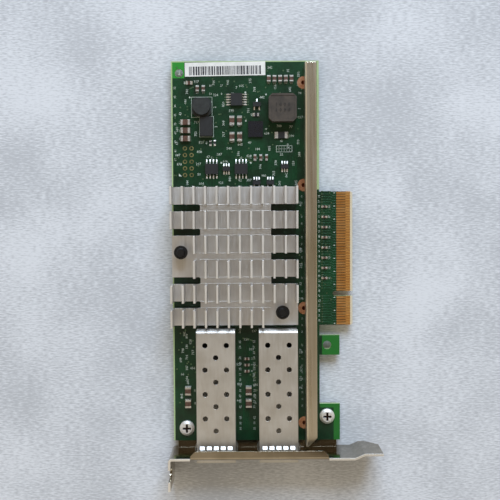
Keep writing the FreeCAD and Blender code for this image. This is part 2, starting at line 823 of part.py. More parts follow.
def cage_fingers(label, u):
    """Bowed spring fingers round a cage's neck, which press on the back of the bracket."""
    body = new_body(label)
    spread = sketch_on(body, "XZ_Plane")
    top_start = "-finger_pitch * (top_fingers - 1) / 2 - finger_width / 2"
    top = sketch_on(body, "YZ_Plane", top_start)
    bowed_finger(top, "cage_height", "+", False)
    strip = pad(body, top, "finger_width")
    pattern(body, [strip], spread, "H_Axis", "finger_pitch", "top_fingers")
    cheek_start = "cage_height / 2 - finger_pitch * (side_fingers - 1) / 2 - finger_width / 2"
    for surface, outward in (("cage_width / 2", "+"), ("-cage_width / 2", "-")):
        cheek = sketch_on(body, "XY_Plane", cheek_start)
        bowed_finger(cheek, surface, outward, True)
        strip = pad(body, cheek, "finger_width")
        pattern(body, [strip], spread, "V_Axis", "finger_pitch", "side_fingers")
    place(body, u)
    node(body, label)


def cage_tails():
    """The cages' press-fit tails, where they come out under the board."""
    tails = []
    for port in ("left_port_u", "left_port_u + port_pitch"):
        for side in ("- cage_width / 2", "+ cage_width / 2 - cage_tail_width"):
            for index in range(int(size("cage_tails"))):
                tails.append(block(
                    "tail", port + side, "cage_tail_start + %d * cage_tail_pitch" % index,
                    "-board_thickness - cage_tail_drop",
                    "cage_tail_width", "cage_tail_width", "cage_tail_drop",
                ))
    group("cage_tails", tails)


# ---------------------------------------------------------------- connectors in the cages
def port_connector(label, u):
    """The moulded connector at the back of a cage, with the slot that takes the module's edge."""
    body = new_body(label)
    base = sketch_on(body, "XY_Plane")
    front = "cage_rear - cage_sheet - connector_clearance - connector_length - connector_lead_foot"
    back = "cage_rear - cage_sheet - connector_clearance - connector_lead_foot"
    rectangle(base, "-connector_width / 2", front, "connector_width / 2", back)
    pad(body, base, "connector_height")
    slot = sketch_on(body, "XY_Plane", "card_slot_level")
    rectangle(
        slot, "-card_slot_width / 2", front + " - " + CUT_MARGIN,
        "card_slot_width / 2", front + " + card_slot_depth",
    )
    pocket(body, slot, "card_slot_height", up=True)
    chin = sketch_on(body, "YZ_Plane")
    outline(chin, [
        (front + " - " + CUT_MARGIN, "connector_height - connector_chin"),
        (front, "connector_height - connector_chin"),
        (front + " + connector_chin", "connector_height"),
        (front + " + connector_chin", "connector_height + " + CUT_MARGIN),
        (front + " - " + CUT_MARGIN, "connector_height + " + CUT_MARGIN),
    ])
    pocket(body, chin, "2 * connector_width", midplane=True)
    place(body, u)
    node(body, label)


def connector_leads():
    """Solder feet in a row behind each connector."""
    feet = []
    for port in ("left_port_u", "left_port_u + port_pitch"):
        for index in range(int(size("connector_leads"))):
            middle = "%s + (%d - (connector_leads - 1) / 2) * lead_pitch" % (port, index)
            feet.append(block(
                "foot", middle + " - connector_lead_width / 2",
                "cage_rear - cage_sheet - connector_clearance - connector_lead_foot", "0",
                "connector_lead_width", "connector_lead_foot", "connector_lead_thickness",
            ))
    group("connector_leads", feet)


# ---------------------------------------------------------------- heat sink
def heat_sink():
    """A finned plate: six rows of fins, side slots between the rows, and two bare pads for the pins."""
    body = new_body("sink")
    depth = "(fin_rows * fin_row_length + (fin_rows - 1) * fin_row_gap)"
    base = sketch_on(body, "XY_Plane")
    rectangle(base, "0", "0", "sink_width", depth)
    pad(body, base, "sink_base")
    row_step = "(fin_row_length + fin_row_gap)"
    fin = sketch_on(body, "XY_Plane", "sink_base")
    rectangle(fin, "0", "0", "fin_thickness", "fin_row_length")
    blade = pad(body, fin, "sink_height - sink_base")
    pattern(body, [blade], fin, "H_Axis", "fin_pitch", "fins_in_row", across=("V_Axis", row_step, "fin_rows"))
    slots = sketch_on(body, "XY_Plane", "sink_base")
    for gap in (0, 1, 3, 4):
        low = "(%d * %s + fin_row_length)" % (gap, row_step)
        rectangle(slots, "-" + CUT_MARGIN, low, "side_slot_left", low + " + fin_row_gap")
    for gap in (1, 2, 3, 4):
        low = "(%d * %s + fin_row_length)" % (gap, row_step)
        rectangle(
            slots, "sink_width - side_slot_right", low,
            "sink_width + " + CUT_MARGIN, low + " + fin_row_gap",
        )
    pocket(body, slots, "sink_base")
    bare = sketch_on(body, "XY_Plane", "sink_height")
    rectangle(
        bare, "-" + CUT_MARGIN, "2 * %s - fin_row_gap / 2" % row_step,
        "left_pad_width", "4 * %s - fin_row_gap / 2" % row_step,
    )
    rectangle(
        bare, "sink_width - right_pad_width", "-" + CUT_MARGIN,
        "sink_width + " + CUT_MARGIN, "fin_row_length + fin_row_gap / 2",
    )
    pocket(body, bare, "sink_height - sink_base")
    bores = sketch_on(body, "XY_Plane", "sink_base")
    circle(bores, "left_pin_u - sink_left", "left_pin_v - sink_start", "pin_hole_diameter")
    circle(bores, RIGHT_PIN_U + " - sink_left", "right_pin_v - sink_start", "pin_hole_diameter")
    pocket(body, bores, "sink_base")
    place(body, "sink_left", "sink_start", "chip_substrate + chip_lid + thermal_pad")
    node(body, "heat_sink")


SINK_TOP = "(chip_substrate + chip_lid + thermal_pad + sink_base)"


def push_pin(label, u, v):
    """Sprung plastic pin: crowned head above its spring, split barbed tip under the board."""
    body = new_body(label)
    profile = sketch_on(body, "XZ_Plane")
    seat = SINK_TOP + " + pin_stand"
    rim = seat + " + pin_head_height - pin_crown_height"
    crown = seat + " + pin_head_height"
    barb = "-board_thickness - barb_clearance"
    outline(profile, [
        ("0", "-board_thickness - pin_tip_drop"),
        ("pin_tip_diameter / 2", "-board_thickness - pin_tip_drop"),
        ("pin_barb_diameter / 2", barb),
        ("pin_shank_diameter / 2", barb),
        ("pin_shank_diameter / 2", seat),
        ("pin_head_diameter / 2", seat),
        ("pin_head_diameter / 2", rim),
        ("pin_crown_diameter / 2", rim),
        ("pin_crown_diameter / 2 - pin_crown_slope", crown),
        ("0", crown),
    ])
    revolution(body, profile)
    split = sketch_on(body, "YZ_Plane")
    rectangle(
        split, "-pin_split_width / 2", "-board_thickness - pin_tip_drop - " + CUT_MARGIN,
        "pin_split_width / 2", "-barb_clearance",
    )
    pocket(body, split, "2 * pin_barb_diameter", midplane=True)
    place(body, u, v)
    node(body, label)


def pin_spring(label, u, v):
    """Wire coil between the sink's pad and a pin's head, drawn with straight chords of wire."""
    low = size("chip_substrate") + size("chip_lid") + size("thermal_pad") + size("sink_base")
    tall = size("pin_stand")
    mean = (size("spring_diameter") - size("spring_wire")) / 2
    thin = size("spring_wire") / 2
    steps = int(round(size("spring_turns") * SPRING_STEPS_PER_TURN))
    rings = []
    for step in range(steps + 1):
        turn = 2 * math.pi * step / SPRING_STEPS_PER_TURN
        middle = low + thin + (tall - 2 * thin) * step / steps
        ring = []
        for side in range(SPRING_WIRE_SIDES):
            angle = 2 * math.pi * side / SPRING_WIRE_SIDES
            out = mean + thin * math.cos(angle)
            level = middle + thin * math.sin(angle)
            ring.append(FreeCAD.Vector(out * math.cos(turn), out * math.sin(turn), level))
        rings.append(ring)
    faces = []
    for near, far in zip(rings, rings[1:]):
        for side in range(SPRING_WIRE_SIDES):
            after = (side + 1) % SPRING_WIRE_SIDES
            faces.append(Part.Face(Part.makePolygon([near[side], far[side], far[after], near[side]])))
            faces.append(Part.Face(Part.makePolygon([near[side], far[after], near[after], near[side]])))
    for ring in (rings[0], rings[-1]):
        fan = [(ring[0], ring[side], ring[side + 1]) for side in range(1, SPRING_WIRE_SIDES - 1)]
        faces.extend(Part.Face(Part.makePolygon([a, b, c, a])) for a, b, c in fan)
    shell = Part.makeShell(faces)
    shell.sewShape()
    spring = doc.addObject("Part::Feature", label + "_coil")
    wire = Part.makeSolid(shell)
    if wire.Volume < 0:
        wire.reverse()
    spring.Shape = wire
    place(spring, u, v)
    node(spring, label)


# ---------------------------------------------------------------- controller
CHIP_U = "((left_pin_u + %s) / 2)" % RIGHT_PIN_U
CHIP_V = "((left_pin_v + right_pin_v) / 2)"


def controller():
    """The controller: its green substrate with a smaller metal lid, and the soft pad on the lid."""
    body = new_body("controller")
    substrate = sketch_on(body, "XY_Plane")
    rectangle(substrate, "-chip_side / 2", "-chip_side / 2", "chip_side / 2", "chip_side / 2")
    pad(body, substrate, "chip_substrate")
    lid = sketch_on(body, "XY_Plane", "chip_substrate")
    rectangle(lid, "-chip_lid_side / 2", "-chip_lid_side / 2", "chip_lid_side / 2", "chip_lid_side / 2")
    pad(body, lid, "chip_lid")
    place(body, CHIP_U, CHIP_V)
    node(body, "controller_chip")
    soft = block(
        "soft_pad", CHIP_U + " - chip_lid_side / 2", CHIP_V + " - chip_lid_side / 2",
        "chip_substrate + chip_lid", "chip_lid_side", "chip_lid_side", "thermal_pad",
    )
    node(soft, "thermal_pad")


# ---------------------------------------------------------------- stiffener rail
def stiffener_rail():
    """Folded steel channel that stands on the rings, with its top cut to a point at the bracket end."""
    body = new_body("rail")
    section = sketch_on(body, "XZ_Plane")
    outline(section, [
        ("0", "0"),
        ("rail_sheet", "0"),
        ("rail_sheet", "rail_height - rail_sheet"),
        ("rail_width - rail_sheet", "rail_height - rail_sheet"),
        ("rail_width - rail_sheet", "0"),
        ("rail_width", "0"),
        ("rail_width", "rail_height"),
        ("rail_sheet", "rail_height", "rail_sheet", "rail_height - rail_sheet", "left"),
        ("0", "rail_height - rail_sheet"),
    ])
    pad(body, section, "board_length - rail_end_setback - rail_start + rail_point", down=True)
    trim = sketch_on(body, "XY_Plane")
    outline(trim, [
        ("0", "-" + CUT_MARGIN),
        ("rail_width + " + CUT_MARGIN, "-" + CUT_MARGIN),
        ("rail_width + " + CUT_MARGIN, "rail_point"),
        ("rail_width", "rail_point"),
        ("rail_sheet", "0"),
        ("0", "0"),
    ])
    pocket(body, trim, "rail_height", up=True)
    place(body, RAIL_LEFT, "rail_start - rail_point", "rail_ring_thickness")
    node(body, "stiffener_rail")


def rail_rings():
    """Bare copper rings on the board, under the rail and beside it."""
    rings = []
    for index in range(1, RAIL_RINGS + 1):
        body = new_body("ring_%d" % index)
        sketch = sketch_on(body, "XY_Plane")
        facet_circle(sketch, "0", "0", "rail_ring_diameter", RING_SIDES)
        facet_circle(sketch, "0", "0", "rail_ring_bore", RING_SIDES)
        pad(body, sketch, "rail_ring_thickness")
        place(body, RAIL_LEFT + " - rail_ring_shift", "rail_ring_%d" % index)
        rings.append(body)
    group("rail_ground_rings", rings)


# ---------------------------------------------------------------- power parts
def power_choke():
    """Square moulded choke with cut corners and a slightly raised rim."""
    body = new_body("power_choke")
    half = "power_choke_side / 2"
    cut = "(power_choke_side / 2 - power_choke_corner)"
    plan = sketch_on(body, "XY_Plane")
    outline(plan, [
        ("-" + cut, "-" + half), (cut, "-" + half), (half, "-" + cut), (half, cut),
        (cut, half), ("-" + cut, half), ("-" + half, cut), ("-" + half, "-" + cut),
    ])
    pad(body, plan, "power_choke_height")
    top = sketch_on(body, "XY_Plane", "power_choke_height")
    inner = "(power_choke_side / 2 - power_choke_rim)"
    rectangle(top, "-" + inner, "-" + inner, inner, inner)
    pocket(body, top, "power_choke_dish")
    place(body, "power_choke_u", "power_choke_v")
    node(body, "power_choke")


def drum_choke():
    """Small choke: a round drum on a squarish foot."""
    body = new_body("drum_choke")
    foot = sketch_on(body, "XY_Plane")
    half_u = "drum_choke_length / 2"
    half_v = "drum_choke_width / 2"
    corner = "drum_choke_corner"
    outline(foot, [
        ("-" + half_u, corner + " - " + half_v), (corner + " - " + half_u, "-" + half_v),
        (half_u + " - " + corner, "-" + half_v), (half_u, corner + " - " + half_v),
        (half_u, half_v + " - " + corner), (half_u + " - " + corner, half_v),
        (corner + " - " + half_u, half_v), ("-" + half_u, half_v + " - " + corner),
    ])
    pad(body, foot, "drum_choke_base")
    drum = sketch_on(body, "XY_Plane")
    circle(drum, "0", "0", "drum_choke_diameter")
    pad(body, drum, "drum_choke_height")
    place(body, "drum_choke_u", "drum_choke_v")
    node(body, "drum_choke")


def flat_packages():
    """The power switch and the leadless converter chip."""
    for label in ("switch", "quad"):
        box = block(
            label, "%s_u - %s_length / 2" % (label, label), "%s_v - %s_width / 2" % (label, label), "0",
            label + "_length", label + "_width", label + "_height",
        )
        node(box, {"switch": "power_switch", "quad": "converter_chip"}[label])


# ---------------------------------------------------------------- chips with leads
def moulded_body(name, kind, u, v, turned=False):
    """A moulded chip body whose long sides slope in, stood off the board by its leads."""
    long_side, short_side = kind + "_length", kind + "_width"
    if turned:
        long_side, short_side = short_side, long_side
    body = new_body(name)
    sketch = sketch_on(body, "XY_Plane", "chip_standoff")
    half_u = short_side + " / 2"
    half_v = long_side + " / 2"
    rectangle(sketch, "-" + half_u, "-" + half_v, half_u, half_v)
    pad(body, sketch, kind + "_height")
    place(body, u, v)
    return body


def lead_row(name, kind, u, v, side, count, turned=False, step=None):
    """A row of gull-wing leads on one side of a chip. The side is 1 or -1 along the lead axis."""
    body = new_body(name)
    step = step or kind + "_lead_pitch"
    start = "(-(%s) * (%d - 1) / 2 - %s_lead_width / 2)" % (step, count, kind)
    sign = "" if side > 0 else "-"
    root = "(%s_width / 2)" % kind
    end = "(%s_span / 2)" % kind
    knee = "(%s - lead_foot)" % end
    middle = "(chip_standoff + %s_height / 2)" % kind
    profile = [
        (root, middle),
        (root, middle + " - lead_thickness"),
        (knee, "0"),
        (end, "0"),
        (end, "lead_thickness"),
        (knee, "lead_thickness"),
    ]
    if turned:
        sketch = sketch_on(body, "YZ_Plane", start)
    else:
        sketch = sketch_on(body, "XZ_Plane", "-" + start + " - %s_lead_width" % kind)
    outline(sketch, [(sign + "(" + x + ")", z) for x, z in profile])
    lead = pad(body, sketch, kind + "_lead_width")
    if count > 1:
        run = pattern(body, [lead], sketch, "N_Axis", step, str(count))
        run.Reversed = not turned
        doc.recompute()
    place(body, u, v)
    return body


def leaded_chips():
    """Two memory chips, a regulator and five small-outline parts, with their leads."""
    memories = []
    memory_leads = []
    for letter in ("a", "b"):
        u, v = "memory_%s_u" % letter, "memory_%s_v" % letter
        memories.append(moulded_body("memory_" + letter, "memory", u, v, turned=True))
        for side in (1, -1):
            memory_leads.append(lead_row("memory_lead", "memory", u, v, side, 4, turned=True))
    group("memory_chips", memories)
    group("memory_chip_leads", memory_leads)
    node(moulded_body("regulator", "regulator", "regulator_u", "regulator_v"), "regulator_chip")
    group("regulator_chip_leads", [
        lead_row("regulator_lead", "regulator", "regulator_u", "regulator_v", side, 5) for side in (1, -1)
    ])
    bodies = []
    leads = []
    for name in ("six_lead_a", "six_lead_b", "three_lead_a", "three_lead_b", "three_lead_c"):
        u, v = name + "_u", name + "_v"
        bodies.append(moulded_body(name, "small", u, v, turned=True))
        six = name.startswith("six")
        leads.append(lead_row(name + "_lead", "small", u, v, 1, 3 if six else 1, turned=True))
        lower = "small_lead_pitch" if six else "2 * small_lead_pitch"
        leads.append(lead_row(name + "_lead", "small", u, v, -1, 3 if six else 2, turned=True, step=lower))
    group("transistor_bodies", bodies)
    group("transistor_leads", leads)


# ---------------------------------------------------------------- chip parts
def chip_row(name, rows):
    """Two-ended chip parts: a ceramic middle between two silver ends, as two nodes."""
    across, along = CHIP_ROWS[name][2:4]
    facing = CHIP_ROWS[name][9]
    under = name.startswith("underside")
    level = "-board_thickness - %s_tall" % name if under else "0"
    start = ROW_STARTS.get(name, name + "_first_u")
    middles = []
    ends = []
    for i in range(across):
        for j in range(along):
            u = "%s + %d * %s_step_u - %s_size_u / 2" % (start, i, name, name)
            v = "%s_first_v + %d * %s_step_v - %s_size_v / 2" % (name, j, name, name)
            long_way = name + ("_size_u" if facing == "across" else "_size_v")
            end = "(terminal_share * %s)" % long_way
            inner = "(%s - 2 * %s)" % (long_way, end)
            wide = name + ("_size_v" if facing == "across" else "_size_u")
            tall = name + "_tall"
            if facing == "across":
                middles.append(block("middle", u + " + " + end, v, level, inner, wide, tall))
                ends.append(block("end", u, v, level, end, wide, tall))
                ends.append(block("end", u + " + " + end + " + " + inner, v, level, end, wide, tall))
            else:
                middles.append(block("middle", u, v + " + " + end, level, wide, inner, tall))
                ends.append(block("end", u, v, level, wide, end, tall))
                ends.append(block("end", u, v + " + " + end + " + " + inner, level, wide, end, tall))
    rows.setdefault("ends", []).extend(ends)
    return middles


def chip_parts():
    """All the two-ended parts, sorted by what they are, and their silver ends together."""
    top = {}
    below = {}
    brown = []
    for name in ("input_capacitor", "output_capacitor", "bulk_capacitor", "filter_capacitor",
                 "memory_capacitor", "port_capacitor", "edge_capacitor"):
        brown.extend(chip_row(name, top))
    group("ceramic_capacitors", brown)
    group("chassis_capacitors", chip_row("chassis_capacitor", top))
    dark = []
    for name in ("sense_resistor", "pull_up_resistor", "bias_resistor"):
        dark.extend(chip_row(name, top))
    group("chip_resistors", dark)
    group("input_fuse", chip_row("fuse", top))
    group("chip_part_ends", top["ends"])
    group("underside_capacitors", chip_row("underside_capacitor", below))
    group("underside_capacitor_ends", below["ends"])


def header_pads():
    """Ten plated rings of an unfitted two-row header."""
    body = new_body("header")
    sketch = sketch_on(body, "XY_Plane")
    facet_circle(sketch, "0", "0", "header_pad_diameter", SMALL_ROUND_SIDES)
    facet_circle(sketch, "0", "0", "header_pad_bore", SMALL_ROUND_SIDES)
    ring = pad(body, sketch, "header_pad_thickness")
    pattern(body, [ring], sketch, "V_Axis", "header_pitch", "header_rows",
            across=("H_Axis", "header_pitch", "header_columns"))
    place(body, "header_u", "header_v")
    node(body, "header_pads")


def paper_label():
    """A blank white label near the far end, stuck on slightly askew."""
    body = new_body("label")
    sketch = sketch_on(body, "XY_Plane")
    rectangle(sketch, "-label_length / 2", "-label_width / 2", "label_length / 2", "label_width / 2")
    pad(body, sketch, "label_thickness")
    place(body, "label_u", "label_v")
    body.setExpression("Placement.Rotation.Angle", bound("label_turn"))
    node(body, "paper_label")


# ---------------------------------------------------------------- build, check, write
def build():
    circuit_board()
    edge_contacts()
    bracket()
    bracket_screw("bracket_screw_left", "left_screw_u", "left_screw_v")
    bracket_screw("bracket_screw_right", RIGHT_SCREW_U, "right_screw_v")
    for side, u in (("left", "left_port_u"), ("right", "left_port_u + port_pitch")):
        port_cage("port_cage_" + side, u)
        cage_fingers("cage_fingers_" + side, u)
        port_connector("port_connector_" + side, u)
    cage_tails()
    connector_leads()
    controller()
    heat_sink()
    for side, u in (("left", "left_pin_u"), ("right", RIGHT_PIN_U)):
        push_pin("push_pin_" + side, u, side + "_pin_v")
        pin_spring("pin_spring_" + side, u, side + "_pin_v")
    rail_rings()
    stiffener_rail()
    power_choke()
    drum_choke()
    flat_packages()
    leaded_chips()
    chip_parts()
    header_pads()
    paper_label()
    doc.recompute()


def write_parts():
    """Stops on any failed feature or bad solid, then writes one file for each node."""
    for thing in doc.Objects:
        if "Invalid" in thing.State or "Error" in thing.State:
            raise RuntimeError("%s is %s" % (thing.Name, thing.State))
    for thing in NODES:
        if thing.Shape.isNull() or not thing.Shape.isValid() or not thing.Shape.Solids:
            raise RuntimeError(thing.Label + " has no valid solid")
    os.makedirs(PARTS_FOLDER, exist_ok=True)
    for thing in NODES:
        thing.Shape.exportStep(os.path.join(PARTS_FOLDER, thing.Label + ".step"))
        print("%-26s %3d solids %10.2f mm3" % (thing.Label, len(thing.Shape.Solids), thing.Shape.Volume))


build()
write_parts()
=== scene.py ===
# %% [markdown]
# # A network interface card, dressed and lit
# The card arrives here as a frame of finished solids, each in its real place. This lesson gives
# every solid the finish that the real part has, adds the thin things that a solid model leaves
# out, such as printed marks, copper tracks and solder, and then lights it on a pale table.
# The frame is loaded first, because every later place is measured from it.

# %% Load the frame
import math
import random

import bmesh
import bpy
from mathutils import Matrix, Vector


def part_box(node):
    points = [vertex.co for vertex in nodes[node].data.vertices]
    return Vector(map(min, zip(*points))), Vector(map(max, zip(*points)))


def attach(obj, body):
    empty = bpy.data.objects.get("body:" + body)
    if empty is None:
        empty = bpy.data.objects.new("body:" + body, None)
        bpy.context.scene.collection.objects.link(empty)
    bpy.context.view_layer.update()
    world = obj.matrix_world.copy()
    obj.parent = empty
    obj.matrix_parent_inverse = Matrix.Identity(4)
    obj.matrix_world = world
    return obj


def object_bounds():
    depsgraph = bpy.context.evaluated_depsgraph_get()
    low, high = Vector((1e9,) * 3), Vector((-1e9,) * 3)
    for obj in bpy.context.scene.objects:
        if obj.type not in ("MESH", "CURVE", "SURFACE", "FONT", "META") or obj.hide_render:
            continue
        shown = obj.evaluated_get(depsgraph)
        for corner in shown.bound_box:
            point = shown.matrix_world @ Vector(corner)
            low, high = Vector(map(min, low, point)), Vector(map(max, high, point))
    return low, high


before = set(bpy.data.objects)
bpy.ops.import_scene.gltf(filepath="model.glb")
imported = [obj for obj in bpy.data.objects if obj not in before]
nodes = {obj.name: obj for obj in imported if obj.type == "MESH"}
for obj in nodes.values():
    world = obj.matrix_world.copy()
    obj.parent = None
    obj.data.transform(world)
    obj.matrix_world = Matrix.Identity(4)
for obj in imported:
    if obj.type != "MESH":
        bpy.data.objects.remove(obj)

cad_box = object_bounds()
MM = 0.001
print("nodes", len(nodes), "box in mm", [[round(c / MM, 1) for c in corner] for corner in cad_box])

# %% [markdown]
# ## Measuring the parts
# One node can hold many small solids, for instance all the ceramic capacitors. To print a number
# beside each one, its own box is needed. Points that lie in the same place are merged in a copy
# of the mesh, and the copy is then walked from edge to edge until each island is known.


# %% A box for each solid of a node
SAME_PLACE = 0.001


def solids_of(node_name):
    """The lowest and highest corner, in millimetres, of every separate solid in a node."""
    mesh = bmesh.new()
    mesh.from_mesh(nodes[node_name].data)
    bmesh.ops.remove_doubles(mesh, verts=mesh.verts, dist=SAME_PLACE * MM)
    waiting = set(mesh.verts)
    boxes = []
    while waiting:
        reached = [waiting.pop()]
        points = []
        while reached:
            point = reached.pop()
            points.append(point.co / MM)
            for edge in point.link_edges:
                other = edge.other_vert(point)
                if other in waiting:
                    waiting.remove(other)
                    reached.append(other)
        low = Vector([min(p[i] for p in points) for i in range(3)])
        high = Vector([max(p[i] for p in points) for i in range(3)])
        boxes.append((low, high))
    mesh.free()
    return sorted(boxes, key=lambda box: (round(box[0].y, 2), round(box[0].x, 2)))


board_low, board_high = (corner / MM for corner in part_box("circuit_board"))
BOARD_TOP = board_high.z
small_parts = {name: solids_of(name) for name in (
    "ceramic_capacitors", "chassis_capacitors", "chip_resistors", "input_fuse", "chip_part_ends",
    "edge_contacts", "header_pads", "memory_chips", "memory_chip_leads", "regulator_chip",
    "regulator_chip_leads", "transistor_bodies", "transistor_leads", "connector_leads")}
print("solids", {name: len(boxes) for name, boxes in small_parts.items()})

# %% [markdown]
# ## Colours and nodes
# Colours are written as the hex values that a paint program shows, which are stored for the
# screen. Light adds up in linear numbers, so one function turns each hex value into those.
# Another small function adds a shader node, sets its sockets and joins its links, so that each
# finish below reads as a short list of what feeds what.


# %% Colour and node helpers
def linear(hex_colour):
    """The linear colour, with full alpha, of a hex value such as #8090a0."""
    channels = [int(hex_colour[i:i + 2], 16) / 255 for i in (1, 3, 5)]
    return tuple(c / 12.92 if c <= 0.04045 else ((c + 0.055) / 1.055) ** 2.4 for c in channels) + (1.0,)


def add_node(material, kind, sockets=None, **settings):
    """Adds a node with its settings, and gives each named socket a value or a link."""
    node = material.node_tree.nodes.new(kind)
    for name, value in settings.items():
        setattr(node, name, value)
    for name, value in (sockets or {}).items():
        if isinstance(value, bpy.types.NodeSocket):
            material.node_tree.links.new(value, node.inputs[name])
        else:
            node.inputs[name].default_value = value
    return node


print("mid grey in linear numbers", [round(c, 3) for c in linear("#808080")])

# %% [markdown]
# A finish can change where a piece was cut, dipped or worn. Two more helpers serve that. The first
# asks where a point lies in the object's own space, and gives one where every answer is yes. The
# second mixes another tone into a finish wherever such a mask is one.


# %% Masks and tints
def where(material, *tests):
    """One where every test holds, such as ("X", "LESS_THAN", 4) in millimetres, zero elsewhere."""
    place = add_node(material, "ShaderNodeTexCoord")
    axes = add_node(material, "ShaderNodeSeparateXYZ", {0: place.outputs["Object"]})
    passed = None
    for axis, side, limit in tests:
        test = add_node(material, "ShaderNodeMath", {0: axes.outputs[axis], 1: limit * MM}, operation=side)
        if passed:
            test = add_node(material, "ShaderNodeMath", {0: passed.outputs[0], 1: test.outputs[0]},
                            operation="MULTIPLY")
        passed = test
    return passed.outputs[0]


def tint(material, mask, tone):
    """Gives a finish another tone where the mask is one."""
    shader = material.node_tree.nodes["Principled BSDF"]
    present = shader.inputs["Base Color"].links[0].from_socket
    toned = add_node(material, "ShaderNodeMix", {0: mask, 6: present, 7: linear(tone)}, data_type="RGBA")
    material.node_tree.links.new(toned.outputs[2], shader.inputs["Base Color"])


print("helpers ready")

# %% [markdown]
# ## One recipe for a worn surface
# No real surface has one flat colour. It drifts slowly between two tones, and a finer grain
# shows in its gloss and in its height. Brushed, drawn or extruded metal has that grain pulled out
# along one direction. The recipe takes the two tones, the size of the patches and of the grain in
# millimetres, how far the grain is pulled along each axis, and how much the grain counts in the
# tone beside the patches. A number that is the same all over goes straight onto the shader's own
# socket. A narrow bevel in the shading lets a sharp edge catch the light, as every real edge does.


# %% The recipe
NOISE_MIDDLE = 0.5
NOISE_REACH = 0.2


def make_finish(name, tones, patch_mm, grain_mm, gloss, relief_mm, pull=(1, 1, 1), edge_mm=0,
                grain_share=0.4, **sockets):
    """A finish whose tone drifts over patches and whose grain shows in its gloss and its height."""
    material = bpy.data.materials.new(name)
    material.use_nodes = True
    shader = material.node_tree.nodes["Principled BSDF"]
    for socket, value in sockets.items():
        shader.inputs[socket.replace("_", " ")].default_value = value
    place = add_node(material, "ShaderNodeTexCoord")
    pulled = add_node(material, "ShaderNodeMapping",
                      {"Vector": place.outputs["Object"], "Scale": [1 / p for p in pull]})
    patches = add_node(material, "ShaderNodeTexNoise",
                       {"Vector": place.outputs["Object"], "Scale": 1 / (patch_mm * MM), "Detail": 3})
    grain = add_node(material, "ShaderNodeTexNoise",
                     {"Vector": pulled.outputs["Vector"], "Scale": 1 / (grain_mm * MM), "Detail": 3})
    both = add_node(material, "ShaderNodeMath",
                    {0: grain.outputs["Fac"], 1: grain_share, 2: patches.outputs["Fac"]},
                    operation="MULTIPLY_ADD")
    usual = NOISE_MIDDLE * (1 + grain_share)
    share = add_node(material, "ShaderNodeMapRange",
                     {"Value": both.outputs[0],
                      "From Min": usual - NOISE_REACH, "From Max": usual + NOISE_REACH})
    colour = add_node(material, "ShaderNodeMix",
                      {0: share.outputs[0], 6: linear(tones[0]), 7: linear(tones[1])}, data_type="RGBA")
    rough = add_node(material, "ShaderNodeMapRange",
                     {"Value": grain.outputs["Fac"], "From Min": NOISE_MIDDLE - NOISE_REACH,
                      "From Max": NOISE_MIDDLE + NOISE_REACH, "To Min": gloss[0], "To Max": gloss[1]})
    height = add_node(material, "ShaderNodeBump",
                      {"Height": grain.outputs["Fac"], "Strength": 1.0, "Distance": relief_mm * MM})
    if edge_mm:
        rounded = add_node(material, "ShaderNodeBevel", {"Radius": edge_mm * MM}, samples=4)
        material.node_tree.links.new(rounded.outputs["Normal"], height.inputs["Normal"])
    material.node_tree.links.new(colour.outputs[2], shader.inputs["Base Color"])
    material.node_tree.links.new(rough.outputs[0], shader.inputs["Roughness"])
    material.node_tree.links.new(height.outputs["Normal"], shader.inputs["Normal"])
    return material


finishes = {}
print("recipe ready")

# %% [markdown]
# ## Metals
# The bracket is sheet steel with bright nickel on it, so it mirrors what is round it. The cages
# are a satin nickel, the heat sink is bare extruded aluminium whose lines run along its fins, and
# the rail is folded plated steel that has warmed in tone. Screws, spring fingers and tinned leads
# are small and bright. All are pure metals to the shader, so they keep its usual index.

# %% Sheet, spring and fastener steels
# Bright nickel plate, electroplated: a clear mirror with the faintest rolling lines. Its tone is darker and
# browner than bare nickel, a painted reflection of the brown room above it.
finishes["nickel_plated_steel"] = make_finish(
    "bright_nickel_plate", ("#918876", "#a89f8f"), 9, 0.5, (0.08, 0.16), 0.001, (24, 1, 1), 0.12, Metallic=1)
# Satin nickel over steel sheet, rolled then stamped: soft broad highlights and faint drawn lines.
finishes["cage_steel"] = make_finish(
    "satin_nickel_sheet", ("#cfccc6", "#dddbd7"), 6, 0.5, (0.42, 0.50), 0.001, (1, 10, 1), 0.10, Metallic=1)
# Spring steel, nickel plated and polished by its own forming: small bright flashes.
finishes["finger_steel"] = make_finish(
    "bright_spring_steel", ("#b5b1aa", "#d6d3cd"), 1.5, 0.3, (0.34, 0.46), 0.002, (1, 6, 1), 0.06, Metallic=1)
# Zinc plated machine screws, cold headed: a pale satin skin.
finishes["screw_steel"] = make_finish(
    "zinc_plated_screw", ("#e9e6e3", "#fbfaf8"), 1.2, 0.3, (0.50, 0.60), 0.001, (1, 1, 1), 0.15, Metallic=1)
# Folded plated steel strip: warm grey, drawn along its length.
finishes["rail_steel"] = make_finish(
    "folded_plated_strip", ("#e3dac4", "#f0e9da"), 14, 0.8, (0.26, 0.31), 0.0005, (1, 40, 1), 0.5, Metallic=1)
print("steel finishes", len(finishes))

# %% Aluminium, tin, copper and gold
# Bare extruded aluminium: matt, with die lines along the fins and a slightly uneven oxide.
finishes["sink_aluminium"] = make_finish(
    "bare_extruded_aluminium", ("#d6d2cd", "#e6e3df"), 7, 0.35, (0.42, 0.52), 0.001, (1, 26, 1), 0.12,
    Metallic=1)
# Tin over copper, reflowed: soft, slightly wavy and bright.
finishes["tinned_metal"] = make_finish(
    "reflowed_tin", ("#cfccc6", "#efede8"), 0.9, 0.3, (0.34, 0.48), 0.006, (1, 1, 1), 0.04, Metallic=1)
# Bare copper, etched and handled: pink with brown oxide clouds.
finishes["bare_copper"] = make_finish(
    "bare_etched_copper", ("#c98b6a", "#ecbc9c"), 1.6, 0.3, (0.30, 0.44), 0.003, (1, 1, 1), 0, Metallic=1)
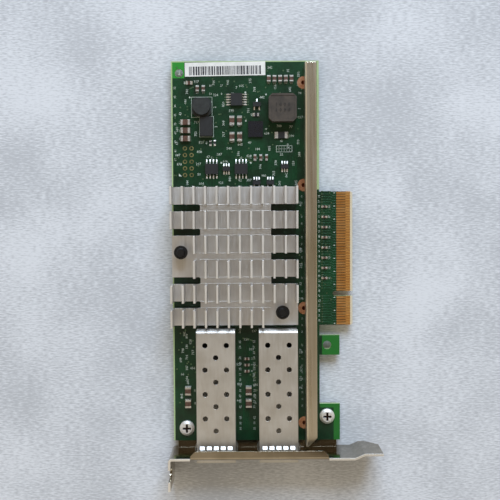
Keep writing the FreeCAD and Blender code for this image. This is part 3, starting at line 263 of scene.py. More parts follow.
# Gold flash over nickel, plated then rubbed by insertion: the rub marks run along each contact.
finishes["contact_gold"] = make_finish(
    "gold_flash_over_nickel", ("#f8b364", "#ffcd8a"), 5, 0.4, (0.28, 0.38), 0.001, (18, 1, 1), 0, Metallic=1)
print("metal finishes", len(finishes))

# %% [markdown]
# Painted highlight: the tips of the fins get a paler tone than the flanks and the base, for the light that
# falls on them from above. The height inside the object decides how much of the pale tone is mixed in.

# %% Painted highlight on the fin tips
FIN_TIP_HIGHLIGHT = "#fbfaf7"
FIN_TIP_HIGHLIGHT_DEPTH = 0.25
sink_low, sink_high = (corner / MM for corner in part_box("heat_sink"))
sink_finish = finishes["sink_aluminium"]
# Painted highlight: a paler tone on the top of every fin.
tint(sink_finish, where(sink_finish, ("Z", "GREATER_THAN", sink_high.z - FIN_TIP_HIGHLIGHT_DEPTH)), FIN_TIP_HIGHLIGHT)
print("fin tips from", round(sink_high.z - FIN_TIP_HIGHLIGHT_DEPTH, 2), "mm")

# %% [markdown]
# The cross in a screw's head is cold punched. It gets a painted shade, a dark tone that stands for the shade
# and the dark reflections inside it. It is the part of the head that lies below its top and is not on its 45
# degree shoulder.

# %% Painted shade in the screws' cross
RECESS_SHADE_TONE = "#3d2c25"
RECESS_TOP = 0.06
RECESS_DEPTH = 1.12
SHOULDER_SLOPE = 0.7
SLOPE_MARGIN = 0.15
screw_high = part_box("bracket_screw_left")[1] / MM
screw = finishes["screw_steel"]
at_depth = where(screw, ("Z", "LESS_THAN", screw_high.z - RECESS_TOP),
                 ("Z", "GREATER_THAN", screw_high.z - RECESS_DEPTH))
facing = add_node(screw, "ShaderNodeNewGeometry")
slope = add_node(screw, "ShaderNodeSeparateXYZ", {0: facing.outputs["True Normal"]})
past_slope = add_node(screw, "ShaderNodeMath", {0: slope.outputs["Z"], 1: SHOULDER_SLOPE},
                      operation="SUBTRACT")
off_slope = add_node(screw, "ShaderNodeMath", {0: past_slope.outputs[0]}, operation="ABSOLUTE")
off_shoulder = add_node(screw, "ShaderNodeMath", {0: off_slope.outputs[0], 1: SLOPE_MARGIN},
                        operation="GREATER_THAN")
recess = add_node(screw, "ShaderNodeMath", {0: at_depth, 1: off_shoulder.outputs[0]}, operation="MULTIPLY")
# Painted shade: the cross recess is darkened for the shade inside it.
tint(screw, recess.outputs[0], RECESS_SHADE_TONE)
print("screw heads end at", round(screw_high.z, 2), "mm")

# %% [markdown]
# A press shears the bracket out of its sheet, which leaves the edges bare and matt. Their near white tone is
# a painted highlight for the glints that the top edges catch. They show as thin lines beside the bent lip, so
# the lip's own width is read from its bend first.

# %% Painted highlight on the bracket's cut edges
EDGE_GLINT_TONE = "#fbfaf7"
SHEARED_GLOSS = 0.46
EDGE_DEPTH = 0.2
PAST_LIP = 0.1
bracket_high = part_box("bracket")[1] / MM
bend = [v.co / MM for v in nodes["bracket"].data.vertices if 0.05 < bracket_high.z - v.co.z / MM < 0.5]
lip_start, lip_end = min(p.x for p in bend), max(p.x for p in bend)
nickel = finishes["nickel_plated_steel"]
nickel_gloss = nickel.node_tree.nodes["Principled BSDF"].inputs["Roughness"]
for side, limit in (("LESS_THAN", lip_start - PAST_LIP), ("GREATER_THAN", lip_end + PAST_LIP)):
    glinting_edge = where(nickel, ("Z", "GREATER_THAN", bracket_high.z - EDGE_DEPTH), ("X", side, limit))
    # Painted highlight: a near white tone along the top edges for the glints they catch.
    tint(nickel, glinting_edge, EDGE_GLINT_TONE)
    duller = add_node(nickel, "ShaderNodeMix",
                      {0: glinting_edge, 2: nickel_gloss.links[0].from_socket, 3: SHEARED_GLOSS}, data_type="FLOAT")
    nickel.node_tree.links.new(duller.outputs[0], nickel_gloss)
print("bracket lip from", round(lip_start, 1), "to", round(lip_end, 1), "mm")

# %% [markdown]
# ## Plastics, ferrites, ceramics and paper
# A chip is moulded from a black epoxy full of glass powder, which leaves it dull and finely
# pitted. Nylon is smoother. A pressed powder choke is speckled, a fired ceramic capacitor is
# smooth and tan. All are insulators, with an index near 1.5.

# %% Moulded and fired finishes
# Filled epoxy, transfer moulded: dull black with a fine eroded grain.
finishes["black_moulding"] = make_finish(
    "moulded_filled_epoxy", ("#0a0b0c", "#141618"), 1.5, 0.12, (0.50, 0.66), 0.010, IOR=1.55)
# Glass filled nylon, injection moulded: black with a soft sheen.
finishes["black_nylon"] = make_finish(
    "moulded_black_nylon", ("#030304", "#0a0a0b"), 1.2, 0.2, (0.34, 0.48), 0.012, IOR=1.53)
# Iron powder with a resin, pressed: warm grey and speckled.
finishes["grey_ferrite"] = make_finish(
    "pressed_iron_powder", ("#2c241b", "#443a2f"), 2.5, 0.16, (0.55, 0.72), 0.018, IOR=1.6)
# Fired ferrite: dark, dense and slightly glossy where it was ground.
finishes["dark_ferrite"] = make_finish(
    "fired_ferrite", ("#101413", "#232826"), 1.4, 0.14, (0.40, 0.58), 0.012, IOR=1.6)
# Barium titanate, fired: tan brown and smooth.
finishes["brown_ceramic"] = make_finish(
    "fired_dielectric_ceramic", ("#3e2a20", "#67483a"), 0.8, 0.12, (0.34, 0.50), 0.004, IOR=1.6)
# Silicone gap filler: soft grey and slightly tacky.
finishes["soft_pad_grey"] = make_finish(
    "silicone_gap_filler", ("#7e8288", "#979ba1"), 2, 0.2, (0.60, 0.78), 0.015, IOR=1.41)
# Bismaleimide laminate with a moulded lid: dark green and matt.
finishes["substrate_green"] = make_finish(
    "chip_substrate_laminate", ("#15402a", "#22593a"), 2, 0.15, (0.40, 0.55), 0.005, IOR=1.5)
# Coated label paper: bright, with a faint fibre.
finishes["label_paper"] = make_finish(
    "coated_label_paper", ("#dcdcd8", "#efefec"), 3, 0.3, (0.50, 0.65), 0.004, (3, 1, 1), IOR=1.5)
print("all finishes", len(finishes))

# %% [markdown]
# ## The board
# A circuit board is glass cloth and epoxy, copper on both sides, and a green liquid mask
# printed over everything that is not soldered. Copper under the mask looks lighter than bare
# laminate, the sawn edge is paler than either, and the corner and tabs round the holes have no
# copper at all, so they let light through and look a brighter green. The finish picks its zone
# from the place on the board and from which way a face points.

# %% Solder mask over laminate
mask = make_finish(
    "solder_mask_over_glass_laminate", ("#002410", "#043d1f"), 7, 0.45, (0.28, 0.42), 0.003, IOR=1.52)
finishes["solder_mask_green"] = mask
BARE_GREEN = "#2b8c2e"
TAB_GREEN = "#1d6a26"
EDGE_GREEN = "#a9c08c"
CONTACT_WINDOW = "#573a1e"
TIP_WINDOW = "#c08a44"
BEVEL_CREAM = "#d2c8ae"
contacts_low, contacts_high = (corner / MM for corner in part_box("edge_contacts"))
rail_low, rail_high = (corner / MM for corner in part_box("stiffener_rail"))
print("mask over a board of", [round(c, 1) for c in board_high - board_low], "mm")

# %% [markdown]
# Each zone is a rectangle on the board, given by where it starts and ends along both axes. A side
# that runs off the board simply lies past its edge. Later zones are laid over earlier ones.

# %% Zones of the board
PAST = 50
LEFT, NEAR, FAR = board_low.x, board_low.y, board_high.y
RIM = 0.5
TIP_LENGTH = 1.7
zones = [
    # The corner round the free hole, the small tab, and two sides of the tab with the screw.
    ((LEFT - PAST, LEFT + 5.1, FAR - 6.4, FAR + PAST), BARE_GREEN),
    ((LEFT + 57.2, LEFT + PAST * 2, NEAR + 32, NEAR + 42.6), TAB_GREEN),
    ((LEFT + 61.6, LEFT + PAST * 2, NEAR - PAST, NEAR + 16), TAB_GREEN),
    ((rail_high.x + 1.6, LEFT + PAST * 2, NEAR + 12.5, NEAR + 16), TAB_GREEN),
    # The pale rim along the left side, the far side and past the rail.
    ((LEFT - PAST, LEFT + RIM, NEAR - PAST, FAR + PAST), EDGE_GREEN),
    ((LEFT - PAST, rail_high.x + 1.6, FAR - 0.4, FAR + PAST), EDGE_GREEN),
    ((rail_high.x + 0.7, PAST, contacts_high.y + 1, FAR + PAST), EDGE_GREEN),
    # The window in the mask between the contacts, their worn tips, and the bevel past them.
    ((contacts_low.x - 0.1, PAST, contacts_low.y - 0.4, contacts_high.y + 0.4), CONTACT_WINDOW),
    ((contacts_high.x - TIP_LENGTH, PAST, contacts_low.y - 0.4, contacts_high.y + 0.4), TIP_WINDOW),
    ((contacts_high.x + 0.05, PAST, contacts_low.y - 2, contacts_high.y + 2), BEVEL_CREAM)]
for (low_x, high_x, low_y, high_y), tone in zones:
    tint(mask, where(mask, ("X", "GREATER_THAN", low_x), ("X", "LESS_THAN", high_x),
                     ("Y", "GREATER_THAN", low_y), ("Y", "LESS_THAN", high_y)), tone)
print("zones", len(zones))

# %% Sawn edges of the board
STEEP = 0.5
facing = add_node(mask, "ShaderNodeNewGeometry")
upright = add_node(mask, "ShaderNodeSeparateXYZ", {0: facing.outputs["True Normal"]})
level = add_node(mask, "ShaderNodeMath", {0: upright.outputs["Z"]}, operation="ABSOLUTE")
sawn = add_node(mask, "ShaderNodeMath", {0: level.outputs[0], 1: STEEP}, operation="LESS_THAN")
tint(mask, sawn.outputs[0], EDGE_GREEN)
print("mask nodes", len(mask.node_tree.nodes))

# %% [markdown]
# ## Dressing the frame
# Each node of the frame still carries the slot name that it was packed with, so its finish is
# found by that name. Two nodes are exceptions: the converter chip shows its bare silicon back, a
# dark blue violet, and the empty header's rings are gold that flux has made dull.

# %% Give every node its finish
# Polished silicon, back side up: dark, cool and a little glossy.
silicon = make_finish(
    "bare_silicon_back", ("#060a12", "#101422"), 1.5, 0.15, (0.24, 0.36), 0.003, IOR=1.7)
for name, node in nodes.items():
    node.material_slots[0].material = finishes[node.material_slots[0].material.name.split(".")[0]]
nodes["converter_chip"].material_slots[0].material = silicon
# Gold flash on the empty header's rings, under a thin film of flux: dull and olive.
nodes["header_pads"].material_slots[0].material = make_finish(
    "fluxed_gold_ring", ("#75714e", "#b0a878"), 1.2, 0.2, (0.35, 0.50), 0.004, Metallic=1)
print("dressed", len(nodes), "nodes in", len(finishes) + 2, "finishes")

# %% [markdown]
# ## Printed marks
# White epoxy ink is screen printed on the mask: a plain number beside each part, a dot at one
# corner of the chips and larger parts, and an outline round two of them. An outline starts as a
# flat plane, is inset, loses its middle and is extruded by the thickness of the ink. A number is
# set in type once for each digit and made a mesh, and each printed digit is a copy of it. Letters
# are left out: plain numbers say enough.

# %% Ink and its helpers
# Epoxy ink, screen printed: off white, matt and a little uneven.
finishes["white_ink"] = make_finish(
    "screen_printed_ink", ("#a3aea2", "#ced5cb"), 1.5, 0.12, (0.55, 0.70), 0.004, IOR=1.5)
INK_MM = 0.02
LINE_MM = 0.14
ink = []


def hold(piece):
    """Selects one piece alone and makes it the active one."""
    bpy.ops.object.select_all(action="DESELECT")
    bpy.context.view_layer.objects.active = piece
    piece.select_set(True)


def settle(piece, name, finish):
    """Names a finished piece, gives it its finish and slot, and lets it ride on the card."""
    hold(piece)
    bpy.ops.object.transform_apply(location=True, rotation=True, scale=True)
    piece.name = name
    piece.data.materials.clear()
    piece.data.materials.append(finish)
    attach(piece, "root")
    print(name, len(piece.data.polygons), "faces")


def start_plane(low_x, low_y, high_x, high_y, level=0):
    """A plane at its size and place, in millimetres, in edit mode with all of it selected."""
    bpy.ops.object.select_all(action="DESELECT")
    bpy.ops.mesh.primitive_plane_add(
        size=1, location=((low_x + high_x) / 2 * MM, (low_y + high_y) / 2 * MM, level * MM))
    plane = bpy.context.object
    plane.scale = ((high_x - low_x) * MM, (high_y - low_y) * MM, 1)
    bpy.ops.object.transform_apply(location=True, rotation=True, scale=True)
    bpy.ops.object.mode_set(mode="EDIT")
    bpy.ops.mesh.select_all(action="SELECT")
    return plane


def select_where(shape, test):
    """Selects the points that pass a test, with the edges and faces between them."""
    mesh = shape.data
    for vertex in mesh.vertices:
        vertex.select = test(vertex.co)
    for part in list(mesh.edges) + list(mesh.polygons):
        part.select = all(mesh.vertices[index].select for index in part.vertices)


def mesh_alone(shape):
    """The mesh of a shape that is only there to be copied; its object goes."""
    mesh = shape.data
    bpy.data.objects.remove(shape)
    return mesh


def raise_plane(thickness):
    """Extrudes what is selected upwards, turns all faces out and leaves edit mode."""
    bpy.ops.mesh.extrude_region_move(TRANSFORM_OT_translate={"value": (0, 0, thickness * MM)})
    bpy.ops.mesh.select_all(action="SELECT")
    bpy.ops.mesh.normals_make_consistent(inside=False)
    bpy.ops.object.mode_set(mode="OBJECT")


def print_outline(low_x, low_y, high_x, high_y):
    """A printed rectangle: a plane whose middle is inset and taken out."""
    mark = start_plane(low_x, low_y, high_x, high_y, BOARD_TOP)
    bpy.ops.mesh.inset(thickness=LINE_MM * MM)
    bpy.ops.mesh.delete(type="FACE")
    bpy.ops.mesh.select_all(action="SELECT")
    raise_plane(INK_MM)
    ink.append(mark)


def joined(pieces):
    """All these pieces as one object."""
    bpy.ops.object.select_all(action="DESELECT")
    for piece in pieces:
        piece.select_set(True)
    bpy.context.view_layer.objects.active = pieces[0]
    bpy.ops.object.join()
    return bpy.context.object


def spot(x, y, level=BOARD_TOP, turn=0):
    """The matrix that puts a copy at a point, in millimetres, turned by some degrees."""
    return Matrix.Translation(Vector((x, y, level)) * MM) @ Matrix.Rotation(math.radians(turn), 4, "Z")


def sized(x, y, z=1.0):
    """The matrix that gives a copy its size along the three axes."""
    return Matrix.Diagonal((x, y, z, 1))


def stamped(mesh, placing):
    """A copy of a mesh, with its own data, put in its place."""
    copy = bpy.data.objects.new("stamp", mesh.copy())
    copy.data.transform(placing)
    bpy.context.scene.collection.objects.link(copy)
    return copy


print("ink is", INK_MM, "mm thick")

# %% Digits, each modelled once
DIGIT_DEPTH = 0.01
digits = {}
for digit in "0123456789":
    bpy.ops.object.select_all(action="DESELECT")
    bpy.ops.object.text_add()
    typed = bpy.context.object
    typed.data.body = digit
    typed.data.resolution_u = 1
    typed.data.align_x = "CENTER"
    typed.data.align_y = "CENTER"
    typed.data.extrude = DIGIT_DEPTH
    bpy.ops.object.convert(target="MESH")
    digits[digit] = mesh_alone(bpy.context.object)
print("digits", {d: len(m.polygons) for d, m in digits.items()})


# %% Number, dot and bar stamps
DIGIT_STEP = 0.62
DIGIT_SCALE = 1.3
DOT_CHAMFER = 0.29


def print_number(number, x, y, height=1.15, turn=0):
    """A number centred on a point of the board, in millimetres, turned by whole degrees."""
    place = spot(x, y, BOARD_TOP + INK_MM / 2, turn)
    size = height * DIGIT_SCALE * MM
    text = str(number)
    for index, digit in enumerate(text):
        step = (index - (len(text) - 1) / 2) * height * DIGIT_STEP
        ink.append(stamped(digits[digit], place @ spot(step, 0, 0) @ sized(size, size, MM)))


dot_plane = start_plane(-0.5, -0.5, 0.5, 0.5)
bpy.ops.mesh.bevel(offset=DOT_CHAMFER * MM, affect="VERTICES", segments=1)
raise_plane(INK_MM)
dot_mesh = mesh_alone(dot_plane)


def print_dot(x, y, width=0.6, depth=None):
    """A dot, or with a depth a short bar with its corners cut, centred on a point of the board."""
    ink.append(stamped(dot_mesh, spot(x, y) @ sized(width, depth or width)))


corner_plane = start_plane(-0.55, -0.55, 0.55, 0.55)
bpy.ops.object.mode_set(mode="OBJECT")
select_where(corner_plane, lambda point: point.x > 0 and point.y > 0)
bpy.ops.object.mode_set(mode="EDIT")
bpy.ops.mesh.delete(type="VERT")
bpy.ops.mesh.select_all(action="SELECT")
bpy.ops.mesh.edge_face_add()
raise_plane(INK_MM)
corner_mesh = mesh_alone(corner_plane)
print("dot faces", len(dot_mesh.polygons), "corner faces", len(corner_mesh.polygons))

# %% Outlines, dots and numbers round the larger parts
OUTLINE_GAP = 0.35
count = 0
for name in ("power_choke", "drum_choke", "power_switch", "converter_chip"):
    low, high = (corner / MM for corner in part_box(name))
    if name in ("drum_choke", "power_switch"):
        print_outline(low.x - OUTLINE_GAP, low.y - OUTLINE_GAP, high.x + OUTLINE_GAP, high.y + OUTLINE_GAP)
    print_dot(low.x - 0.9, high.y + 0.2)
    count += 1
    print_number(count, high.x + 1.3, (low.y + high.y) / 2, turn=90)
for low, high in small_parts["memory_chips"] + small_parts["regulator_chip"]:
    print_dot(high.x + 1.2, high.y + 0.4, 0.7)
    count += 1
    print_number(count, (low.x + high.x) / 2, high.y + 2.2)
print("numbered", count, "parts")

# %% [markdown]
# A small part's number stands where the board is free: on its right near the cages and beside the
# contacts, on its left where the part stands upright, and below it where it lies across.

# %% Numbers beside the small parts
NEAR_CAGES = -30
SMALL = 0.85
bodies = [box for name in ("ceramic_capacitors", "chassis_capacitors", "chip_resistors", "input_fuse")
          for box in small_parts[name]]
for low, high in bodies:
    middle = (low + high) / 2
    count += 1
    if middle.y < NEAR_CAGES or middle.x > rail_high.x:
        print_number(count, high.x + 1.5, middle.y, 0.8, 90)
    elif high.x - low.x < high.y - low.y:
        print_number(count, low.x - 1.1, middle.y, SMALL, 90)
    else:
        print_number(count, middle.x, low.y - 1.0, SMALL)
print("numbered", count, "parts")

# %% [markdown]
# An empty header has a corner mark at its first pin. A block of small boxes is there for a tester
# to tick, and columns of numbers run along the left edge of the board and just past the rail. A
# short bar every 5 mm along the contacts helps to count them.

# %% Header corner, tick boxes, and numbers along the edges
header_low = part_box("header_pads")[0] / MM
ink.append(stamped(corner_mesh, spot(header_low.x - 1.0, header_low.y + 0.9)))
for row in range(2):
    for column in range(6):
        left = LEFT + 39.9 + column * 1.0
        bottom = NEAR + 110.7 + row * 1.2
        print_outline(left, bottom, left + 1.1, bottom + 1.3)
chance = random.Random(11)
for rows, x, first_y, step, height, least, most in (
        (9, LEFT + 1.5, NEAR + 108, 3.4, 0.9, 10, 99),
        (26, rail_high.x + 1.5, contacts_low.y + 1.5, 1.9, 0.8, 10, 99),
        (5, LEFT + 5.2, NEAR + 24, 4.1, 1.0, 100, 999)):
    for row in range(rows):
        print_number(chance.randint(least, most), x, first_y + row * step, height, 90)
MARK_EVERY = 5
for low, high in small_parts["edge_contacts"]:
    if high.z > BOARD_TOP and round((low.y - contacts_low.y) / MARK_EVERY, 3) % 1 < 0.1:
        print_dot(contacts_low.x - 0.8, (low.y + high.y) / 2, 0.7, 0.3)
print("marks so far", len(ink))

# %% [markdown]
# Between the two cages the board is packed with marks for parts that sit close together. They are
# laid out in two columns of short numbers. One more column runs beside the rail, and three short
# ones stand beside the drum choke. Some places stay empty, as on a real board.

# %% Numbers between the cages, beside the rail and beside the drum choke
CROWDED, SPARSE = 0.85, 0.7
cage_left_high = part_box("port_cage_left")[1] / MM
cage_right_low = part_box("port_cage_right")[0] / MM
between = (cage_left_high.x + cage_right_low.x) / 2
for row in range(17):
    for column in (-2.7, 2.7):
        if chance.random() < CROWDED:
            print_number(chance.randint(10, 99), between + column, NEAR + 4.5 + row * 2.1, 0.95, 90)
for row in range(34):
    if chance.random() < SPARSE:
        print_number(chance.randint(1, 99), rail_low.x - 0.9, NEAR + 8 + row * 2.6, 0.7, 90)
for row in range(4):
    for column in range(3):
        if chance.random() < SPARSE:
            print_number(chance.randint(1, 99), LEFT + 15 + column * 4.2, NEAR + 136 - row * 3.1, SMALL)
print("marks so far", len(ink))

# %% [markdown]
# On the open parts of the board there is a number wherever a part could be fitted. Random places
# are tried, and one is kept when it is clear of every part and of every place kept before it.

# %% Numbers on the open board
blocked = [tuple(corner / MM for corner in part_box(name)) for name in nodes if name != "circuit_board"
           and name not in small_parts and name not in ("rail_ground_rings", "cage_tails")]
blocked += [box for boxes in small_parts.values() for box in boxes]


TONGUE_START = 54.5


def is_clear(x, y, margin):
    """Whether a place on the board keeps this many millimetres away from every part."""
    off_board = x > LEFT + TONGUE_START and not contacts_low.y < y < contacts_high.y
    return not off_board and all(
        x < low.x - margin or x > high.x + margin or y < low.y - margin or y > high.y + margin
        for low, high in blocked)


TRIES = 4000
NUMBERS_APART = 3.4
number_places = []
for attempt in range(TRIES):
    x = chance.uniform(LEFT + 2, rail_low.x - 1)
    y = chance.uniform(NEAR + 3, FAR - 2)
    apart = all(math.hypot(x - other[0], y - other[1]) > NUMBERS_APART for other in number_places)
    if apart and is_clear(x, y, 1.3):
        number_places.append((x, y))
        print_number(chance.randint(1, 999), x, y, 1.05, chance.choice((0, 90)))
print("numbers on the open board", len(number_places))
settle(joined(ink), "white_print", finishes["white_ink"])

# %% [markdown]
# ## Copper tracks and vias
# Tracks are etched copper that shows as a lighter, slightly raised line under the mask. A track
# is drawn as a curve of straight runs with corners at 45 degrees, as a layout program does. The
# curve is as thick as the track is wide, is made a mesh, and is then pressed flat. A via is a
# plated hole from one layer to the next: a short eight sided ring with a dimple, modelled once
# and copied.

# %% Track finish and the track layer
# Liquid mask over etched copper: lighter green than over bare laminate, and glossy.
finishes["masked_copper"] = make_finish(
    "solder_mask_over_copper", ("#043f20", "#0a522d"), 3, 0.3, (0.24, 0.38), 0.003, IOR=1.52)
TRACK_MM = 0.04
TRACK_WIDTH = 0.22
tracks = bpy.data.curves.new("tracks", "CURVE")
tracks.dimensions = "3D"
tracks.bevel_depth = TRACK_WIDTH / 2 * MM
tracks.bevel_resolution = 0
tracks.use_fill_caps = True
track_ends = []


def lay_track(points):
    """One track through points on the board, in millimetres, lying flat."""
    line = tracks.splines.new("POLY")
    line.points.add(len(points) - 1)
    for point, (x, y) in zip(line.points, points):
        point.co = (x * MM, y * MM, 0, 1)
    track_ends.append(points[-1])


HALF_CORNER = math.radians(22.5)


def lay_bundle(first, run_in, slant, run_out, many, pitch):
    """Parallel tracks: a straight run, a slanted step sideways and another straight run."""
    sign = 1 if slant > 0 else -1
    for index in range(many):
        shift = index * pitch
        early = -shift * math.tan(HALF_CORNER) * sign
        corner = run_in + early
        path = [(shift, 0), (shift, corner), (shift + slant, corner + abs(slant)),
                (shift + slant, corner + abs(slant) + run_out)]
        lay_track([(first[0] + x, first[1] + y) for x, y in path])


print("tracks are", TRACK_WIDTH, "mm wide")

# %% Lay the tracks
TRACK_SHIFT = 0.6
for low, high in small_parts["edge_contacts"]:
    if high.z > BOARD_TOP:
        middle = (low.y + high.y) / 2
        lay_track([(low.x, middle), (low.x - 1.6, middle), (low.x - 1.6 - TRACK_SHIFT, middle + TRACK_SHIFT),
                   (rail_high.x + 2.6, middle + TRACK_SHIFT)])
memory_middle = (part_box("memory_chips")[0].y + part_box("memory_chips")[1].y) / 2 / MM
for low, high in small_parts["memory_chip_leads"]:
    middle = (low.x + high.x) / 2
    if low.y < memory_middle:
        lay_track([(middle, low.y), (middle, low.y - 5.5)])
    else:
        lay_track([(middle, high.y), (middle, high.y + 1.3)])
regulator_middle = (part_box("regulator_chip")[0].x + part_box("regulator_chip")[1].x) / 2 / MM
for low, high in small_parts["regulator_chip_leads"]:
    middle = (low.y + high.y) / 2
    if (low.x + high.x) / 2 < regulator_middle:
        lay_track([(low.x, middle), (low.x - 1.1, middle)])
    else:
        lay_track([(high.x, middle), (high.x + 1.1, middle)])
lay_bundle((between - 1.5, NEAR + 4), 14, 1.4, 20, 5, 0.5)
lay_bundle((LEFT + 8.3, NEAR + 120), 6, -1.0, 8, 3, 0.5)
lay_bundle((LEFT + 26, NEAR + 100), 4, 2.0, 2.2, 6, 0.5)
lay_bundle((LEFT + 46.2, NEAR + 100), 9, 1.2, 14, 4, 0.5)
track_object = bpy.data.objects.new("tracks", tracks)
bpy.context.scene.collection.objects.link(track_object)
hold(track_object)
bpy.ops.object.convert(target="MESH")
track_object = bpy.context.object
track_object.location = (0, 0, BOARD_TOP * MM)
track_object.scale = (1, 1, TRACK_MM / TRACK_WIDTH)
settle(track_object, "copper_tracks", finishes["masked_copper"])


# %% A cupped disc, for vias and plated holes
def cupped_disc(sides, radius, thick, rim, dimple):
    """The mesh of a low disc, in millimetres, whose top is inset and pushed down."""
    bpy.ops.object.select_all(action="DESELECT")
    bpy.ops.mesh.primitive_cylinder_add(vertices=sides, radius=radius * MM, depth=thick * MM)
    disc = bpy.context.object
    select_where(disc, lambda point: point.z > 0)
    bpy.ops.object.mode_set(mode="EDIT")
    bpy.ops.mesh.inset(thickness=rim * MM)
    bpy.ops.mesh.extrude_region_move(TRANSFORM_OT_translate={"value": (0, 0, -dimple * MM)})
    bpy.ops.object.mode_set(mode="OBJECT")
    return mesh_alone(disc)


VIA_THICK = 0.04
via_mesh = cupped_disc(8, 0.32, VIA_THICK, 0.15, 0.03)
print("via faces", len(via_mesh.polygons))

# %% Where vias go
VIAS = 190
free_places = [end for end in track_ends if end[0] > LEFT]
while len(free_places) < VIAS:
    x = chance.uniform(LEFT + 1, rail_high.x + 7)
    y = chance.uniform(NEAR + 2, FAR - 2)
    if is_clear(x, y, 0.7):
        free_places.append((x, y))
vias = [stamped(via_mesh, spot(x, y, BOARD_TOP + VIA_THICK / 2)) for x, y in free_places]
# Tinned annular ring, filled and half covered by mask: a small pale dot.
finishes["via_ring"] = make_finish(
    "tinned_via_ring", ("#4d7050", "#7f957a"), 0.8, 0.2, (0.30, 0.45), 0.004, Metallic=1)
settle(joined(vias), "vias", finishes["via_ring"])

# %% [markdown]
# ## Solder
# Every chip part stands on two pads, and melted solder climbs its ends in a smooth slope. One joint
# is modelled from a cube: its top outer edge is pulled down to the pad, so that the side becomes a
# ramp, and the edges are bevelled. Each end gets a copy, sized and turned to match.

# %% One solder joint
SLOPE_DROP = 0.85
SOFTENED = 0.06


def start_cube():
    """A cube of size one that stands on the origin and reaches away along X."""
    bpy.ops.object.select_all(action="DESELECT")
    bpy.ops.mesh.primitive_cube_add(size=1, location=(0.5, 0, 0.5))
    bpy.ops.object.transform_apply(location=True, rotation=True, scale=True)
    return bpy.context.object


joint = start_cube()
select_where(joint, lambda point: point.x > 0.9 and point.z > 0.9)
bpy.ops.object.mode_set(mode="EDIT")
bpy.ops.transform.translate(value=(0, 0, -SLOPE_DROP))
bpy.ops.mesh.select_all(action="SELECT")
bpy.ops.mesh.bevel(offset=SOFTENED, segments=1, affect="EDGES")
bpy.ops.object.mode_set(mode="OBJECT")
joint_mesh = mesh_alone(joint)
print("joint faces", len(joint_mesh.polygons))


# %% Where a joint stands
def away_from(box, owners):
    """The way from the middle of the nearest owner to the middle of a small box."""
    middle = (box[0] + box[1]) / 2
    offsets = [middle - (low + high) / 2 for low, high in owners]
    return min(offsets, key=lambda offset: offset.length)


def solder(box, outward, along_x, overlap, reach, wider, climb, aside=0.0):
    """A joint at the outer face of an end or a lead, its slope pointing outward."""
    low, high = box
    middle = (low + high) / 2
    sign = 1 if (outward.x if along_x else outward.y) > 0 else -1
    if along_x:
        width = high.y - low.y
        place = spot((high.x if sign > 0 else low.x) - sign * overlap, middle.y, turn=90 - 90 * sign)
    else:
        width = high.x - low.x
        place = spot(middle.x + aside, (high.y if sign > 0 else low.y) - sign * overlap, turn=90 * sign)
    return stamped(joint_mesh, place @ sized(reach * MM, width * wider * MM, climb * MM))


print("a joint climbs a part's end or a lead")

# %% Solder every chip end
JOINT_REACH = 0.38
END_WIDER = 1.06
CLIMB_SHARE = 0.7
joints = []
for box in small_parts["chip_part_ends"]:
    outward = away_from(box, bodies)
    joints.append(solder(box, outward, abs(outward.x) > abs(outward.y), 0, JOINT_REACH, END_WIDER,
                         (box[1].z - box[0].z) * CLIMB_SHARE))
settle(joined(joints), "solder_joints", finishes["tinned_metal"])

# %% [markdown]
# A chip's leads end on pads that reach a little further out, and solder wets both. The same joint
# is used again, longer and lower, with its slope pointing away from the chip. The two transistors
# at the edge of the heat sink stand on a footprint for a wider part, so each shows a row of three
# soldered pads on its open side.

# %% Solder every lead
PAD_REACH = 1.0
PAD_OVERLAP = 0.3
PAD_WIDER = 1.25
PAD_CLIMB = 0.28
NEXT_PAD = 0.95
BESIDE_SINK = 3
feet = []
for owners, leads in (("memory_chips", "memory_chip_leads"), ("regulator_chip", "regulator_chip_leads"),
                      ("transistor_bodies", "transistor_leads")):
    for box in small_parts[leads]:
        outward = away_from(box, small_parts[owners])
        from_sink = (box[0].y + box[1].y) / 2 - sink_high.y
        wide_footprint = owners == "transistor_bodies" and 0 < from_sink < BESIDE_SINK and outward.y > 0
        for aside in (-NEXT_PAD, 0, NEXT_PAD) if wide_footprint else (0,):
            feet.append(solder(box, outward, owners == "regulator_chip", PAD_OVERLAP, PAD_REACH,
                               PAD_WIDER, PAD_CLIMB, aside))
settle(joined(feet), "soldered_feet", finishes["tinned_metal"])

# %% [markdown]
# ## Ground pads under the rail
# Inside each copper ring lies a plated hole: a copper disc with a dark bore in its middle. Both are copies of
# one cupped disc with twelve sides, and the bore is the smaller and darker one, a painted shade for the
# shadowed inside of the hole.

# %% Plated hole inside each ring
PLATE_THICK = 0.05
PLATE_RAISED = 0.02
BORE_RAISED = 0.04
BORE_SHIFT = 0.25
BORE_SIZE = (0.5, 0.62, 0.6)
plated_mesh = cupped_disc(12, 1.32, PLATE_THICK, 0.75, 0.04)
discs = []
bores = []
for low, high in solids_of("rail_ground_rings"):
    x, y = (low.x + high.x) / 2, (low.y + high.y) / 2
    discs.append(stamped(plated_mesh, spot(x, y, BOARD_TOP + PLATE_RAISED)))
    bores.append(stamped(plated_mesh, spot(x - BORE_SHIFT, y, BOARD_TOP + BORE_RAISED) @ sized(*BORE_SIZE)))
settle(joined(discs), "plated_ground_holes", finishes["bare_copper"])
# Painted shade: a dark brown disc that stands for the shadowed inside of a bore, seen from above.
finishes["bore_shade"] = make_finish(
    "painted_bore_shade", ("#2a120a", "#5a2a1a"), 0.8, 0.2, (0.45, 0.60), 0.004, Metallic=1)
settle(joined(bores), "ground_hole_bores", finishes["bore_shade"])

# %% [markdown]
# ## Saw marks on the heat sink
# The fins are extruded in one length and then sawn across, and the saw leaves a fine bright burr
# on the base along both sides of each cut. The cuts are found from the ends of the fins in the
# sink's own mesh. A burr is a low ridge: a cube whose upper edges are pulled together.

